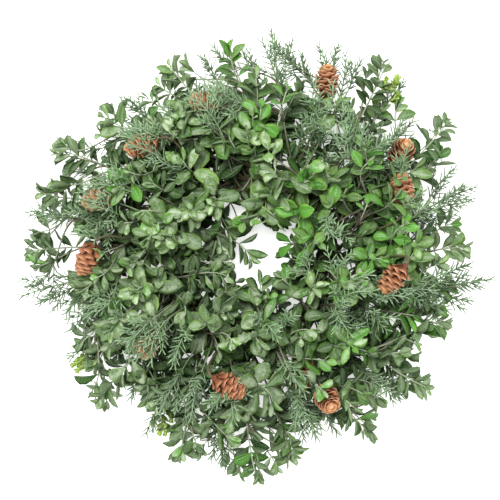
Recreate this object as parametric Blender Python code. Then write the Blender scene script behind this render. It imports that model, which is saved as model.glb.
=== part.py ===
"""A fresh evergreen wreath lying on its back on a table, front up.

Four vine canes are twisted into a ring. Boxwood, juniper and budded sprigs and small cones
lie with their cut stems along the ring, and one binding wire is wound round it all.
The wreath's front faces +Z. Angles round the wreath run anticlockwise from +X, seen from the
front, and start at the ring's own middle until the last step stands the box on the origin.
"""

import math

import bmesh
import bpy
from mathutils import Matrix, Vector
from mathutils.bvhtree import BVHTree
from mathutils.geometry import normal

MM = 0.001
UP = Vector((0, 0, 1))

# The ring's middle circle.
RING_RADIUS = 92 * MM

# The canes are twisted round the middle circle, each cut a little short of a full turn.
CANE_COUNT = 4
CANE_RADIUS = 4.6 * MM
CANE_OFFSET = 7.4 * MM
CANE_TWISTS = 3
CANE_SPAN_DEG = 348
CANE_STEPS = 36

# Cut stems lie on the canes, the wire is wound over them, and its turns stand on the table.
STEM_REACH = 14.2 * MM
WIRE_REACH = 17.7 * MM
WIRE_RADIUS = 0.7 * MM
WIRE_TURNS = 18
WIRE_STEPS_A_TURN = 12
RING_HEIGHT = WIRE_REACH + WIRE_RADIUS

# How much of a stem is tucked under the wire, and how a long and a short stem are divided.
TUCKED_DEG = 13
STEM_RADIUS = 1.5 * MM
STEM_TIP_RADIUS = 0.8 * MM
BOXWOOD_STEPS = 7
JUNIPER_STEPS = 8
SHORT_STEPS = 5

LEAF_LENGTH = 31 * MM
LEAF_WIDTH = 15 * MM
LEAF_THICKNESS = 1.1 * MM
LEAF_SPREAD_DEG = 62
TIP_LEAF_SPREAD_DEG = 50
TIP_LEAF_SIZE = 0.86
# How far along its length each section of a leaf is, and how much of its full width it has.
LEAF_SECTIONS = ((0.30, 0.72), (0.66, 1.0), (1.0, 0.34))
BLADE_ARCH = 0.10

NEEDLE_LENGTH = 10 * MM
TWIG_LENGTH = 40 * MM
TWIG_RADIUS = 0.9 * MM
TWIG_WIDTH_WITH_NEEDLES = 11 * MM
TWIG_SPREAD_DEG = 46
TWIG_SECTIONS = (0.1, 0.4, 0.7)
BUD_LENGTH = 9 * MM
BUD_WIDTH = 5 * MM
BUD_SPREAD_DEG = 42
BUD_WHORLS = 4

CONE_LENGTH = 44 * MM
CONE_RADIUS = 13 * MM
CONE_TIERS = 6
CONE_SIDES = 8
STALK_RADIUS = 1.3 * MM
STALK_STEPS = 5
# Each tier of scales widens from its neck to its lip: share of the tier's height, and of its
# radius. Every other side stands out a little further, and the next tier's do in between.
TIER_SECTIONS = ((0.12, 0.58), (0.92, 1.0))
SCALE_BULGE = 0.10

# Pieces are kept this far from one another and from the table.
STEM_GAP = 0.5 * MM
LEAF_GAP = 0.45 * MM
TABLE_GAP = 0.3 * MM

# One row a sprig: kind, angle where it leaves the ring, angle round the ring's own section
# (0 outward, 90 to the front, 180 to the middle), then where its tip is: angle, radius and
# height in mm.
BOXWOOD, JUNIPER, BUDDED = "boxwood_sprig", "juniper_sprig", "budded_sprig"
OUTER_SPRIGS = [
    (BOXWOOD, 344, 5, 4, 244, 40),
    (JUNIPER, 322, 35, 355, 282, 56),
    (JUNIPER, 355, 12, 19, 268, 34),
    (BOXWOOD, 6, 30, 35, 278, 60),
    (JUNIPER, 16, 50, 43, 238, 78),
    (BUDDED, 28, 10, 52, 276, 44),
    (BOXWOOD, 33, 35, 56, 276, 66),
    (JUNIPER, 44, 18, 69, 268, 50),
    (JUNIPER, 58, 38, 86, 271, 62),
    (BOXWOOD, 72, 12, 97, 246, 42),
    (BOXWOOD, 86, 30, 114, 250, 62),
    (JUNIPER, 102, 20, 130, 248, 48),
    (BOXWOOD, 110, 42, 137, 246, 70),
    (BOXWOOD, 128, 22, 151, 272, 48),
    (BOXWOOD, 142, 8, 163, 258, 36),
    (JUNIPER, 148, 36, 169, 272, 60),
    (BOXWOOD, 160, 12, 178, 270, 38),
    (JUNIPER, 168, 34, 189, 281, 54),
    (BOXWOOD, 182, 16, 206, 236, 46),
    (BUDDED, 192, -4, 212, 254, 28),
    (BOXWOOD, 200, 32, 222, 250, 58),
    (BUDDED, 218, 2, 241, 240, 30),
    (BOXWOOD, 228, 24, 249, 250, 46),
    (JUNIPER, 240, 8, 261, 252, 34),
    (BOXWOOD, 248, 32, 270, 258, 54),
    (BOXWOOD, 262, 8, 281, 242, 34),
    (BOXWOOD, 282, 18, 303, 246, 44),
    (JUNIPER, 298, 6, 317, 242, 34),
    (BOXWOOD, 304, 30, 323, 256, 58),
    (BOXWOOD, 324, 14, 341, 242, 42),
]
FRONT_SPRIGS = [
    (BOXWOOD, 52, 78, 61, 124, 108),
    (BOXWOOD, 84, 70, 94, 142, 116),
    (JUNIPER, 118, 66, 134, 156, 108),
    (BOXWOOD, 146, 80, 160, 120, 112),
    (BOXWOOD, 186, 72, 197, 140, 114),
    (BOXWOOD, 226, 80, 240, 122, 108),
    (BOXWOOD, 272, 74, 286, 134, 112),
    (JUNIPER, 318, 84, 331, 116, 104),
]
INNER_SPRIGS = [
    (BOXWOOD, 66, 140, 92, 66, 76),
    (BOXWOOD, 132, 150, 160, 44, 58),
    (BOXWOOD, 352, 146, 18, 60, 62),
    (BOXWOOD, 262, 140, 290, 50, 66),
    (BOXWOOD, 206, 148, 234, 50, 60),
]
# One row a cone: the angle, radius and height in mm of its middle, the heading of its tip,
# how far the tip dips, and where its stalk leaves the ring, as above.
CONES = [
    (25, 192, 74, 95, 10, 4, 45),
    (36, 216, 62, 60, -55, 14, 24),
    (68, 228, 60, 86, -15, 56, 34),
    (107, 190, 92, 172, 5, 90, 50),
    (134.5, 188, 92, 200, 5, 118, 40),
    (158.5, 196, 82, 200, 10, 142, 36),
    (180, 198, 80, 245, 15, 166, 40),
    (217, 158, 96, 270, 5, 198, 52),
    (258, 150, 102, 330, 5, 244, 52),
    (292, 148, 66, 262, -10, 278, 20),
    (297, 184, 92, 300, -60, 286, 50),
    (352, 162, 98, 228, 5, 340, 58),
]

# Shifts that are tried in turn, the smallest first: for a stem, degrees along the ring and
# round its section; for a cone, millimetres up and degrees along the ring; for a leaf, degrees
# of yaw and pitch and a share of its size.
STEM_SHIFTS = sorted(
    ((shift, turn) for shift in range(-14, 15) for turn in range(-36, 37, 9)),
    key=lambda pair: (abs(pair[0]) + abs(pair[1]) / 3, pair),
)
CONE_SHIFTS = [
    (lift, shift)
    for lift in sorted(range(-24, 25, 3), key=abs)
    for shift in sorted(range(-12, 13), key=abs)
]
LEAF_TURNS = [
    (yaw, pitch, size)
    for size in (1.0, 0.82)
    for pitch in (0, 22, -22, 42)
    for yaw in (0, 18, -18)
]
TWIG_PITCHES = (0, 25, -25, 45)


def outward_at(angle_deg):
    angle = math.radians(angle_deg)
    return Vector((math.cos(angle), math.sin(angle), 0))


def at_polar(angle_deg, radius_mm, height_mm):
    return outward_at(angle_deg) * (radius_mm * MM) + UP * (height_mm * MM)


def by_the_ring(angle_deg, section_deg, reach):
    """The point beside the ring at that angle, on that side of it, reach from its middle circle."""
    section = math.radians(section_deg)
    across = outward_at(angle_deg) * (RING_RADIUS + reach * math.cos(section))
    return across + UP * (RING_HEIGHT + reach * math.sin(section))


def bezier(start, first, second, end, share):
    rest = 1 - share
    return (
        start * rest**3
        + first * (3 * rest * rest * share)
        + second * (3 * rest * share * share)
        + end * share**3
    )


def across_from(vector, way):
    """The part of the vector that is square to way, as a unit vector."""
    return (vector - way * vector.dot(way)).normalized()


def section_frames(path):
    """(centre, across, over) at each point of a path, turning no more than the path does."""
    frames = []
    across = (path[1] - path[0]).cross(UP).normalized()
    for step, centre in enumerate(path):
        ahead = (path[min(step + 1, len(path) - 1)] - path[max(step - 1, 0)]).normalized()
        across = across_from(across, ahead)
        frames.append((centre, across, ahead.cross(across)))
    return frames


def section_ring(frame, radius, sides, bulges=None):
    """The corners of a section, its flats facing across and over when it has four."""
    centre, across, over = frame
    ring = []
    for side in range(sides):
        turn = math.tau * (side + 0.5) / sides
        reach = radius * (bulges[side] if bulges else 1)
        ring.append(centre + (across * math.cos(turn) + over * math.sin(turn)) * reach)
    return ring


def flat_ring(centre, wide, thick, half_width, half_thickness):
    """The four corners of a flattened section."""
    return [
        centre + wide * (half_width * i) + thick * (half_thickness * j)
        for i, j in ((-1, -1), (1, -1), (1, 1), (-1, 1))
    ]


def matched(ring, corners):
    """The ring's points wound the same way as the corners, from the one that twists least."""
    middle = sum(ring, Vector()) / len(ring)
    below = sum(corners, Vector()) / len(corners)
    travel = middle - below
    if normal(ring).dot(travel) * normal(corners).dot(travel) < 0:
        ring = ring[::-1]
    ways = [(corner - below).normalized() for corner in corners]

    def twist(points):
        return sum((way - (point - middle).normalized()).length for way, point in zip(ways, points))

    return min((ring[start:] + ring[:start] for start in range(len(ring))), key=twist)


def skin_tree(rings, tip=None):
    """The skin through four-cornered rings, for finding what it would touch."""
    points = [point for ring in rings for point in ring]
    faces = []
    for low in range(0, len(points) - 4, 4):
        for side in range(4):
            after = (side + 1) % 4
            faces.append((low + side, low + after, low + 4 + after, low + 4 + side))
    last = len(points) - 4
    if tip is None:
        faces.append(range(last, last + 4))
    else:
        points.append(tip)
        faces += [(last + side, last + (side + 1) % 4, last + 4) for side in range(4)]
    return BVHTree.FromPolygons(points, faces)


def solid_tree(piece):
    """The piece's surface, for finding what touches it."""
    bpy.context.view_layer.update()
    evaluated = piece.evaluated_get(bpy.context.evaluated_depsgraph_get())
    mesh = evaluated.to_mesh()
    points = [piece.matrix_world @ vertex.co for vertex in mesh.vertices]
    faces = [tuple(polygon.vertices) for polygon in mesh.polygons]
    evaluated.to_mesh_clear()
    return BVHTree.FromPolygons(points, faces)


def clear_of(tree, others):
    return not any(tree.overlap(other) for other in others)


def clear_of_table(points):
    return all(point.z > TABLE_GAP for point in points)


def corners_of(face):
    return [corner.co.copy() for corner in face.verts]


def extruded(solid, face, ring):
    """Extrudes the face to the ring. Returns the new end and the faces round it."""
    end = bmesh.ops.extrude_discrete_faces(solid, faces=[face])["faces"][0]
    for corner, point in zip(end.verts, matched(ring, corners_of(end))):
        corner.co = point
    around = [next(side for side in edge.link_faces if side is not end) for edge in end.edges]
    return end, around


def extrude_tube(solid, path, radii, sides, bulges=None):
    """Extrudes a closed tube along the path. Returns the faces round each of its steps."""
    bulges = bulges or [None] * len(path)
    rings = [
        section_ring(frame, radius, sides, bulge)
        for frame, radius, bulge in zip(section_frames(path), radii, bulges)
    ]
    circle = bmesh.ops.create_circle(solid, cap_ends=True, segments=sides, radius=radii[0])
    end = circle["verts"][0].link_faces[0]
    for corner, point in zip(end.verts, rings[0]):
        corner.co = point
    steps = []
    for ring in rings[1:]:
        end, around = extruded(solid, end, ring)
        steps.append(around)
    bmesh.ops.holes_fill(solid, edges=[edge for edge in solid.edges if edge.is_boundary])
    return steps


def grow_limb(solid, face, rings, tip, others):
    """Extrudes a limb from the face through the rings, to a flat end or a sharp tip, if it is
    clear of the others and of the rest of its own sprig. Returns the faces round its steps."""
    route = [corners_of(face)]
    for ring in rings:
        route.append(matched(ring, route[-1]))
    ends = route[1] if rings else [tip] * len(route[0])
    lifted = [corner.lerp(end, 0.05) for corner, end in zip(route[0], ends)]
    if not clear_of(skin_tree([lifted] + route[1:], tip), others + [BVHTree.FromBMesh(solid)]):
        return []
    steps = []
    for ring in route[1:]:
        face, around = extruded(solid, face, ring)
        steps.append(around)
    if tip is not None:
        bmesh.ops.poke(solid, faces=[face])["verts"][0].co = tip
    return steps


def arched(root, way, facing, length, share):
    """The point that far along a line which arches a little towards facing."""
    return root + way * length * share + facing * (BLADE_ARCH * length * math.sin(math.pi * share))


def blade_rings(root, way, facing, length, width, thickness):
    """Sections of an oval blade, from its narrow foot to its round tip."""
    wide = facing.cross(way).normalized()
    rings = []
    for share, fullness in LEAF_SECTIONS:
        centre = arched(root, way, facing, length, share)
        rings.append(flat_ring(centre, wide, facing, width / 2 * fullness, thickness / 2))
    return rings


def room_for_blade(root, way, facing, length, width):
    """The corners and the surface of the room that a blade needs, a little larger than itself."""
    wide = facing.cross(way).normalized()
    foot = flat_ring(root + way * length * 0.12, wide, facing, STEM_RADIUS, STEM_RADIUS)
    rings = [foot]
    rings += blade_rings(
        root, way, facing, length * 1.03, width + 2.5 * LEAF_GAP, LEAF_THICKNESS + 2 * LEAF_GAP
    )
    return [point for ring in rings for point in ring], skin_tree(rings)


def limb_start(face, hub, ahead, spread_deg, up_share=0.6):
    """Where a limb leaves the face of a stem round hub, which way it goes and what it faces:
    partly up to the light, and partly along the stem."""
    root = face.calc_center_median()
    outward = across_from(root - hub, ahead)
    spread = math.radians(spread_deg)
    way = outward * math.sin(spread) + ahead * math.cos(spread)
    facing = UP * up_share + ahead * (1 - up_share)
    facing = facing - way * facing.dot(way)
    if facing.length < 0.2:
        facing = across_from(ahead, way)
    return root, way.normalized(), facing.normalized()


def grow_blade(solid, start, face, length, width, others, own):
    """Grows a leaf if there is room for one, trying small turns."""
    root, first_way, first_facing = start
    for yaw, pitch, size in LEAF_TURNS:
        way = Matrix.Rotation(math.radians(yaw), 3, first_facing) @ first_way
        turn = Matrix.Rotation(math.radians(pitch), 3, first_facing.cross(way).normalized())
        way, facing = turn @ way, turn @ first_facing
        corners, room = room_for_blade(root, way, facing, length * size, width * size)
        if not clear_of_table(corners) or not clear_of(room, others + own):
            continue
        blade = blade_rings(root, way, facing, length * size, width * size, LEAF_THICKNESS)
        if grow_limb(solid, face, blade, None, others):
            own.append(room)
            return


def grow_needle(solid, face, hub, ahead, others):
    """Grows one needle out of the whole face, if it is clear."""
    root, way, _ = limb_start(face, hub, ahead, 46)
    tip = root + way * NEEDLE_LENGTH
    # The room starts a little out from the face, and is a little larger all round.
    foot = [root + (corner - root) * 1.2 + way * LEAF_GAP for corner in corners_of(face)]
    room = skin_tree([foot], tip + way * LEAF_GAP)
    if clear_of_table([tip]) and clear_of(room, others):
        grow_limb(solid, face, [], tip, others)


def flank_faces(faces, over):
    """The two faces that look least along over, so that needles lie in a flat spray."""
    return sorted(faces, key=lambda face: abs(face.normal.dot(over)))[:2]


def grow_twig(solid, face, hub, ahead, length, others, own):
    """Grows a side twig with needles on both sides and a pointed end."""
    root, first_way, first_facing = limb_start(face, hub, ahead, TWIG_SPREAD_DEG)
    for pitch in TWIG_PITCHES:
        turn = Matrix.Rotation(math.radians(pitch), 3, first_facing.cross(first_way).normalized())
        way, facing = turn @ first_way, turn @ first_facing
        corners, room = room_for_blade(root, way, facing, length, TWIG_WIDTH_WITH_NEEDLES)
        if clear_of_table(corners) and clear_of(room, others + own):
            break
    else:
        return
    rings = []
    wide = facing.cross(way).normalized()
    for share in TWIG_SECTIONS:
        radius = TWIG_RADIUS * (1 - 0.4 * share)
        rings.append(flat_ring(arched(root, way, facing, length, share), wide, facing, radius, radius))
    steps = grow_limb(solid, face, rings, root + way * length, others)
    if steps:
        own.append(room)
    solid.normal_update()
    for step in range(1, len(steps)):
        middle = (TWIG_SECTIONS[step - 1] + TWIG_SECTIONS[step]) / 2
        twig_hub = arched(root, way, facing, length, middle)
        for side in flank_faces(steps[step], facing):
            grow_needle(solid, side, twig_hub, way, others)


def hub_and_heading(path, step):
    return (path[step] + path[step + 1]) / 2, (path[step + 1] - path[step]).normalized()


def grow_boxwood(solid, path, steps, others, first):
    """Leaves in crossed pairs, with a whorl of four at the tip."""
    own = []
    last = len(steps) - 1
    for step in range(last, first - 1, -1):
        hub, ahead = hub_and_heading(path, step)
        sides = range(4) if step == last else ((0, 2) if step % 2 else (1, 3))
        for side in sides:
            # No two leaves of a sprig are quite the same size, or stand quite the same way out.
            vary = math.sin(2.4 * side + 1.7 * step + 90 * path[-1].x)
            size = (TIP_LEAF_SIZE if step == last else 1) * (1 + 0.12 * vary)
            spread = (TIP_LEAF_SPREAD_DEG if step == last else LEAF_SPREAD_DEG) - 8 * vary
            up_share = 0.2 if step == last else 0.6
            start = limb_start(steps[step][side], hub, ahead, spread, up_share)
            grow_blade(
                solid, start, steps[step][side], LEAF_LENGTH * size, LEAF_WIDTH * size, others, own
            )


def grow_juniper(solid, path, steps, others, first):
    """Side twigs left and right by turns, longest at the foot, with needles between them."""
    own = []
    last = len(steps) - 1
    for step in range(last, first - 1, -1):
        hub, ahead = hub_and_heading(path, step)
        solid.normal_update()
        twig = flank_faces(steps[step], UP)[step % 2]
        length = TWIG_LENGTH * (0.5 + 0.5 * (last - step) / (last - first))
        grow_twig(solid, twig, hub, ahead, length, others, own)
        for face in [side for side in steps[step] if side.is_valid][:2]:
            grow_needle(solid, face, hub, ahead, others)


def grow_buds(solid, path, steps, others, _first):
    """Small round leaf buds on all sides of the tip."""
    own = []
    last = len(steps) - 1
    for step in range(last, last - BUD_WHORLS, -1):
        hub, ahead = hub_and_heading(path, step)
        for face in steps[step]:
            start = limb_start(face, hub, ahead, BUD_SPREAD_DEG, 0)
            grow_blade(solid, start, face, BUD_LENGTH, BUD_WIDTH, others, own)


def stem_path(leaves_deg, section_deg, tip, steps):
    """Tucked along the ring under the wire, then in one sweep to the tip."""
    tucked = [
        by_the_ring(leaves_deg - TUCKED_DEG * back, section_deg, STEM_REACH) for back in (1, 0.5)
    ]
    start = by_the_ring(leaves_deg, section_deg, STEM_REACH)
    away = (start - by_the_ring(leaves_deg, section_deg, 0)).normalized()
    leave = (outward_at(leaves_deg + 90) * 0.75 + away * 0.66).normalized()
    length = (tip - start).length
    first = start + leave * length * 0.34
    second = start.lerp(tip, 0.66) + UP * length * 0.05
    return tucked + [bezier(start, first, second, tip, step / steps) for step in range(steps + 1)]


def stem_room(path, radii):
    """The corners and the surface of the room that a stem needs."""
    frames = section_frames(path)
    rings = [section_ring(frame, radius + STEM_GAP, 4) for frame, radius in zip(frames, radii)]
    return [point for ring in rings for point in ring], skin_tree(rings)


def free_stem(row, steps, others):
    """(path, radii, room) of a stem, shifted a little on the ring until it is clear."""
    _, leaves, section, tip_deg, tip_radius, tip_height = row
    tip = at_polar(tip_deg, tip_radius, tip_height)
    for shift, turn in STEM_SHIFTS:
        path = stem_path(leaves + shift, section + turn, tip, steps)
        taper = (STEM_TIP_RADIUS - STEM_RADIUS) / (len(path) - 1)
        radii = [STEM_RADIUS + taper * step for step in range(len(path))]
        corners, room = stem_room(path, radii)
        if clear_of_table(corners) and clear_of(room, others):
            return path, radii, room
    raise RuntimeError(f"no room for the stem that leaves the ring at {leaves} degrees")


def cone_route(row, lift, shift):
    """(path, radii, bulges) of a small open cone on the stalk that holds it to the ring."""
    angle, radius, height, heading, dip, leaves, section = row
    pitch = math.radians(dip)
    axis = outward_at(heading) * math.cos(pitch) - UP * math.sin(pitch)
    base = at_polar(angle, radius, height + lift) - axis * CONE_LENGTH / 2
    start = by_the_ring(leaves + shift, section, STEM_REACH)
    length = (base - start).length
    leave = (outward_at(leaves + shift + 90) * 0.7 + UP * 0.5).normalized()
    first = start + leave * length * 0.35
    second = base - axis * length * 0.3
    path = [by_the_ring(leaves + shift - TUCKED_DEG / 2, section, STEM_REACH)]
    path += [bezier(start, first, second, base, step / STALK_STEPS) for step in range(STALK_STEPS)]
    radii = [STALK_RADIUS] * len(path)
    bulges = [None] * len(path)
    for tier in range(CONE_TIERS):
        # Widest a little below the middle, and blunt at both ends.
        fullness = math.sin(math.pi * (0.16 + 0.70 * (tier + 0.5) / CONE_TIERS)) ** 0.8
        for share, part in TIER_SECTIONS:
            path.append(base + axis * CONE_LENGTH * (tier + share) / CONE_TIERS)
            radii.append(CONE_RADIUS * fullness * part)
            bulges.append([1 + SCALE_BULGE * (-1) ** (side + tier) for side in range(CONE_SIDES)])
    path.append(base + axis * CONE_LENGTH)
    radii.append(CONE_RADIUS * 0.18)
    bulges.append(None)
    return path, radii, bulges


def cane_curve():
    """One cane's curve, which the other canes share, each turned a step round the ring."""
    path = [
        by_the_ring(angle, CANE_TWISTS * angle, CANE_OFFSET)
        for angle in (CANE_SPAN_DEG * step / CANE_STEPS for step in range(CANE_STEPS + 1))
    ]
    return bevelled_curve("vine_cane", path, CANE_RADIUS, 1)


def wire_curve():
    """The wire, wound from one end to the other with a short gap where it starts and ends."""
    steps = WIRE_TURNS * WIRE_STEPS_A_TURN - WIRE_STEPS_A_TURN // 2
    turns = [step / WIRE_STEPS_A_TURN for step in range(steps + 1)]
    path = [by_the_ring(360 * turn / WIRE_TURNS, 360 * turn, WIRE_REACH) for turn in turns]
    return bevelled_curve("binding_wire", path, WIRE_RADIUS, 0)


def bevelled_curve(name, path, radius, resolution):
    curve = bpy.data.curves.new(name, "CURVE")
    curve.dimensions = "3D"
    curve.bevel_depth = radius
    curve.bevel_resolution = resolution
    curve.use_fill_caps = True
    spline = curve.splines.new("POLY")
    spline.points.add(len(path) - 1)
    for point, place in zip(spline.points, path):
        point.co = (*place, 1)
    return curve


def mesh_from(name, solid, foot):
    """The solid as a mesh whose own origin is at the foot, with its bends shaded smooth."""
    bmesh.ops.translate(solid, vec=-foot, verts=solid.verts)
    bmesh.ops.recalc_face_normals(solid, faces=solid.faces)
    if solid.calc_volume(signed=True) < 0:
        bmesh.ops.reverse_faces(solid, faces=solid.faces)
    mesh = bpy.data.meshes.new(name)
    solid.to_mesh(mesh)
    solid.free()
    mesh.shade_smooth()
    mesh.set_sharp_from_angle(angle=math.radians(40))
    return mesh


def add_piece(name, data, finish, wreath, place=(0, 0, 0), turn_deg=0):
    if not data.materials:
        data.materials.append(finish)
    piece = bpy.data.objects.new(name, data)
    piece.location = place
    piece.rotation_euler.z = math.radians(turn_deg)
    piece.parent = wreath
    bpy.context.scene.collection.objects.link(piece)
    return piece


def make_material(name, colour, roughness, metallic=0.0):
    made = bpy.data.materials.new(name)
    made.use_nodes = True
    shader = made.node_tree.nodes["Principled BSDF"]
    shader.inputs["Base Color"].default_value = (*colour, 1)
    shader.inputs["Roughness"].default_value = roughness
    shader.inputs["Metallic"].default_value = metallic
    return made


def add_ring(wreath):
    """The canes and the wire."""
    bark = make_material("vine_bark", (0.060, 0.034, 0.020), 0.85)
    steel = make_material("binding_wire", (0.035, 0.060, 0.030), 0.45, 0.6)
    cane = cane_curve()
    pieces = [
        add_piece(f"vine_cane_{number + 1}", cane, bark, wreath, turn_deg=360 / CANE_COUNT * number)
        for number in range(CANE_COUNT)
    ]
    return pieces + [add_piece("binding_wire", wire_curve(), steel, wreath)]


def add_cone(name, row, finish, wreath, others):
    """The cone where it is clear of its neighbours, shifted or lifted a little if need be."""
    for lift, shift in CONE_SHIFTS:
        path, radii, bulges = cone_route(row, lift, shift)
        solid = bmesh.new()
        extrude_tube(solid, path, radii, CONE_SIDES, bulges)
        if clear_of(BVHTree.FromBMesh(solid), others):
            return add_piece(name, mesh_from(name, solid, path[0]), finish, wreath, path[0])
        solid.free()
    raise RuntimeError(f"no room for {name}")


def add_sprigs(wreath, trees):
    """All the stems find their places first, and then each one grows its leaves between them."""
    kinds = {
        BOXWOOD: (grow_boxwood, BOXWOOD_STEPS, make_material("boxwood_leaf", (0.11, 0.22, 0.08), 0.50)),
        JUNIPER: (grow_juniper, JUNIPER_STEPS, make_material("juniper_needle", (0.15, 0.26, 0.16), 0.60)),
        BUDDED: (grow_buds, BOXWOOD_STEPS, make_material("young_bud", (0.36, 0.50, 0.08), 0.50)),
    }
    rows = OUTER_SPRIGS + FRONT_SPRIGS + INNER_SPRIGS
    stems = []
    for number, row in enumerate(rows):
        steps = kinds[row[0]][1] if number < len(OUTER_SPRIGS) else SHORT_STEPS
        stems.append(free_stem(row, steps, trees + [room for _, _, room in stems]))
    counts = dict.fromkeys(kinds, 0)
    for number, (row, (path, radii, _)) in enumerate(zip(rows, stems)):
        grow, _, finish = kinds[row[0]]
        counts[row[0]] += 1
        name = f"{row[0]}_{counts[row[0]]:02d}"
        solid = bmesh.new()
        steps = extrude_tube(solid, path, radii, 4)
        others = trees + [room for _, _, room in stems[number + 1 :]]
        grow(solid, path, steps, others, 3 if number < len(OUTER_SPRIGS) else 2)
        piece = add_piece(name, mesh_from(name, solid, path[0]), finish, wreath, path[0])
        trees.append(solid_tree(piece))


def stand_on_origin(wreath):
    """Moves the wreath so that the middle of its box's underside is at the world's origin."""
    bpy.context.view_layer.update()
    graph = bpy.context.evaluated_depsgraph_get()
    points = []
    for piece in wreath.children:
        evaluated = piece.evaluated_get(graph)
        points += [piece.matrix_world @ vertex.co for vertex in evaluated.to_mesh().vertices]
        evaluated.to_mesh_clear()
    low = [min(point[axis] for point in points) for axis in range(3)]
    high = [max(point[axis] for point in points) for axis in range(3)]
    wreath.location = (-(low[0] + high[0]) / 2, -(low[1] + high[1]) / 2, -low[2])


def main():
    for old in list(bpy.data.objects):
        bpy.data.objects.remove(old, do_unlink=True)
    wreath = bpy.data.objects.new("wreath", None)
    bpy.context.scene.collection.objects.link(wreath)
    trees = [solid_tree(piece) for piece in add_ring(wreath)]
    scales = make_material("cone_scales", (0.50, 0.19, 0.09), 0.70)
    for number, row in enumerate(CONES, 1):
        trees.append(solid_tree(add_cone(f"cone_{number:02d}", row, scales, wreath, trees)))
    add_sprigs(wreath, trees)
    stand_on_origin(wreath)


main()
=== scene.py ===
"""Fresh evergreen wreath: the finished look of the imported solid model.

Forty-three sprigs of boxwood, juniper and budded boxwood are tucked under a
wire that binds four vine canes, with a dozen small cones on stalks among them.
Lengths are in metres and angles in degrees unless a name says millimetres.
"""

import math

import bpy
import numpy as np
from bpy.props import FloatProperty, FloatVectorProperty, PointerProperty
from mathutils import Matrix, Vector


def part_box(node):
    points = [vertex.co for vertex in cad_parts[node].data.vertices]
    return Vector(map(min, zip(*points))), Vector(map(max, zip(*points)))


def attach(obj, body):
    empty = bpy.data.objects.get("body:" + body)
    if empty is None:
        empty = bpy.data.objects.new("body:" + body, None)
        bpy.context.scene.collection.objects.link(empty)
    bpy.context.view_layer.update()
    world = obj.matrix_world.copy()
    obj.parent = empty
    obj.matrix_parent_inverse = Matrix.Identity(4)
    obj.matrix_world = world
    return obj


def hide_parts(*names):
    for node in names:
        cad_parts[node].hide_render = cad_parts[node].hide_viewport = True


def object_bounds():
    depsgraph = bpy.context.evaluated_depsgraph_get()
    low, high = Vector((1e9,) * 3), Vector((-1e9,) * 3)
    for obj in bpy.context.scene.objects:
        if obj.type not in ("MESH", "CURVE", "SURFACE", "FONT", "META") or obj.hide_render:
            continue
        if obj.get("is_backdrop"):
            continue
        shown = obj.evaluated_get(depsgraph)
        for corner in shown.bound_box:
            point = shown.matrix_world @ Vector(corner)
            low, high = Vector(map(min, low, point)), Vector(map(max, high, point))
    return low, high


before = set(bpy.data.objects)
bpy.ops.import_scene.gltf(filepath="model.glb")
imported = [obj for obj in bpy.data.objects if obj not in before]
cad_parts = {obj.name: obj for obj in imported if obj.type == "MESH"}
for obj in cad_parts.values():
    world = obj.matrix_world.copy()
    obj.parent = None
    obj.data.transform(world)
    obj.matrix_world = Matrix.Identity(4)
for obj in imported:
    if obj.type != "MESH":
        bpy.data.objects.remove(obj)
CAD_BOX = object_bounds()

bl_info = {
    "name": "Fresh evergreen wreath",
    "version": (1, 0, 0),
    "blender": (4, 5, 0),
    "location": "View3D > Sidebar > Wreath",
    "description": "Builds a wreath of boxwood, juniper and small cones on a ring of vine canes",
    "category": "Object",
}

MM = 0.001
UP = np.array((0.0, 0.0, 1.0))

# The ring of canes and its wire, as the solid model has them.
RING_RADIUS = 92 * MM
RING_HEIGHT = 18.4 * MM
CANE_COUNT = 4
CANE_OFFSET = 7.4 * MM
CANE_TWISTS = 3
CANE_SPAN = 348
STEM_REACH = 14.2 * MM
WIRE_REACH = 17.7 * MM
WIRE_TURNS = 18
TUCKED = 13
LOWEST = 0.6 * MM
HIGHEST = 136 * MM

# Each sprig: where it leaves the ring and the ring's section, then its tip's
# angle, its tip's distance from the middle and its tip's height in millimetres.
BOXWOOD = (
    (344, 5, 4, 244, 40), (6, 30, 35, 278, 60), (33, 35, 56, 276, 66), (72, 12, 97, 246, 42),
    (86, 30, 114, 250, 62), (110, 42, 137, 246, 70), (128, 22, 151, 272, 48),
    (142, 8, 163, 258, 36), (160, 12, 178, 270, 38), (182, 16, 206, 236, 46),
    (200, 32, 222, 250, 58), (228, 24, 249, 250, 46), (248, 32, 270, 258, 54),
    (262, 8, 281, 242, 34), (282, 18, 303, 246, 44), (304, 30, 323, 256, 58),
    (324, 14, 341, 242, 42), (52, 78, 61, 124, 108), (84, 70, 94, 142, 116),
    (146, 80, 160, 120, 112), (186, 72, 197, 140, 114), (226, 80, 240, 122, 108),
    (272, 74, 286, 134, 112), (66, 140, 92, 66, 76), (132, 150, 160, 44, 58),
    (352, 146, 18, 60, 62), (262, 140, 290, 50, 66), (206, 148, 234, 50, 60),
)
JUNIPER = (
    (322, 35, 355, 282, 56), (355, 12, 19, 268, 34), (16, 50, 43, 238, 78),
    (44, 18, 69, 268, 50), (58, 38, 86, 271, 62), (102, 20, 130, 248, 48),
    (148, 36, 169, 272, 60), (168, 34, 189, 281, 54), (240, 8, 261, 252, 34),
    (298, 6, 317, 242, 34), (118, 66, 134, 156, 108), (318, 84, 331, 116, 104),
)
BUDDED = ((28, 10, 52, 276, 44), (192, -4, 212, 254, 28), (218, 2, 241, 240, 30))

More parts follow.
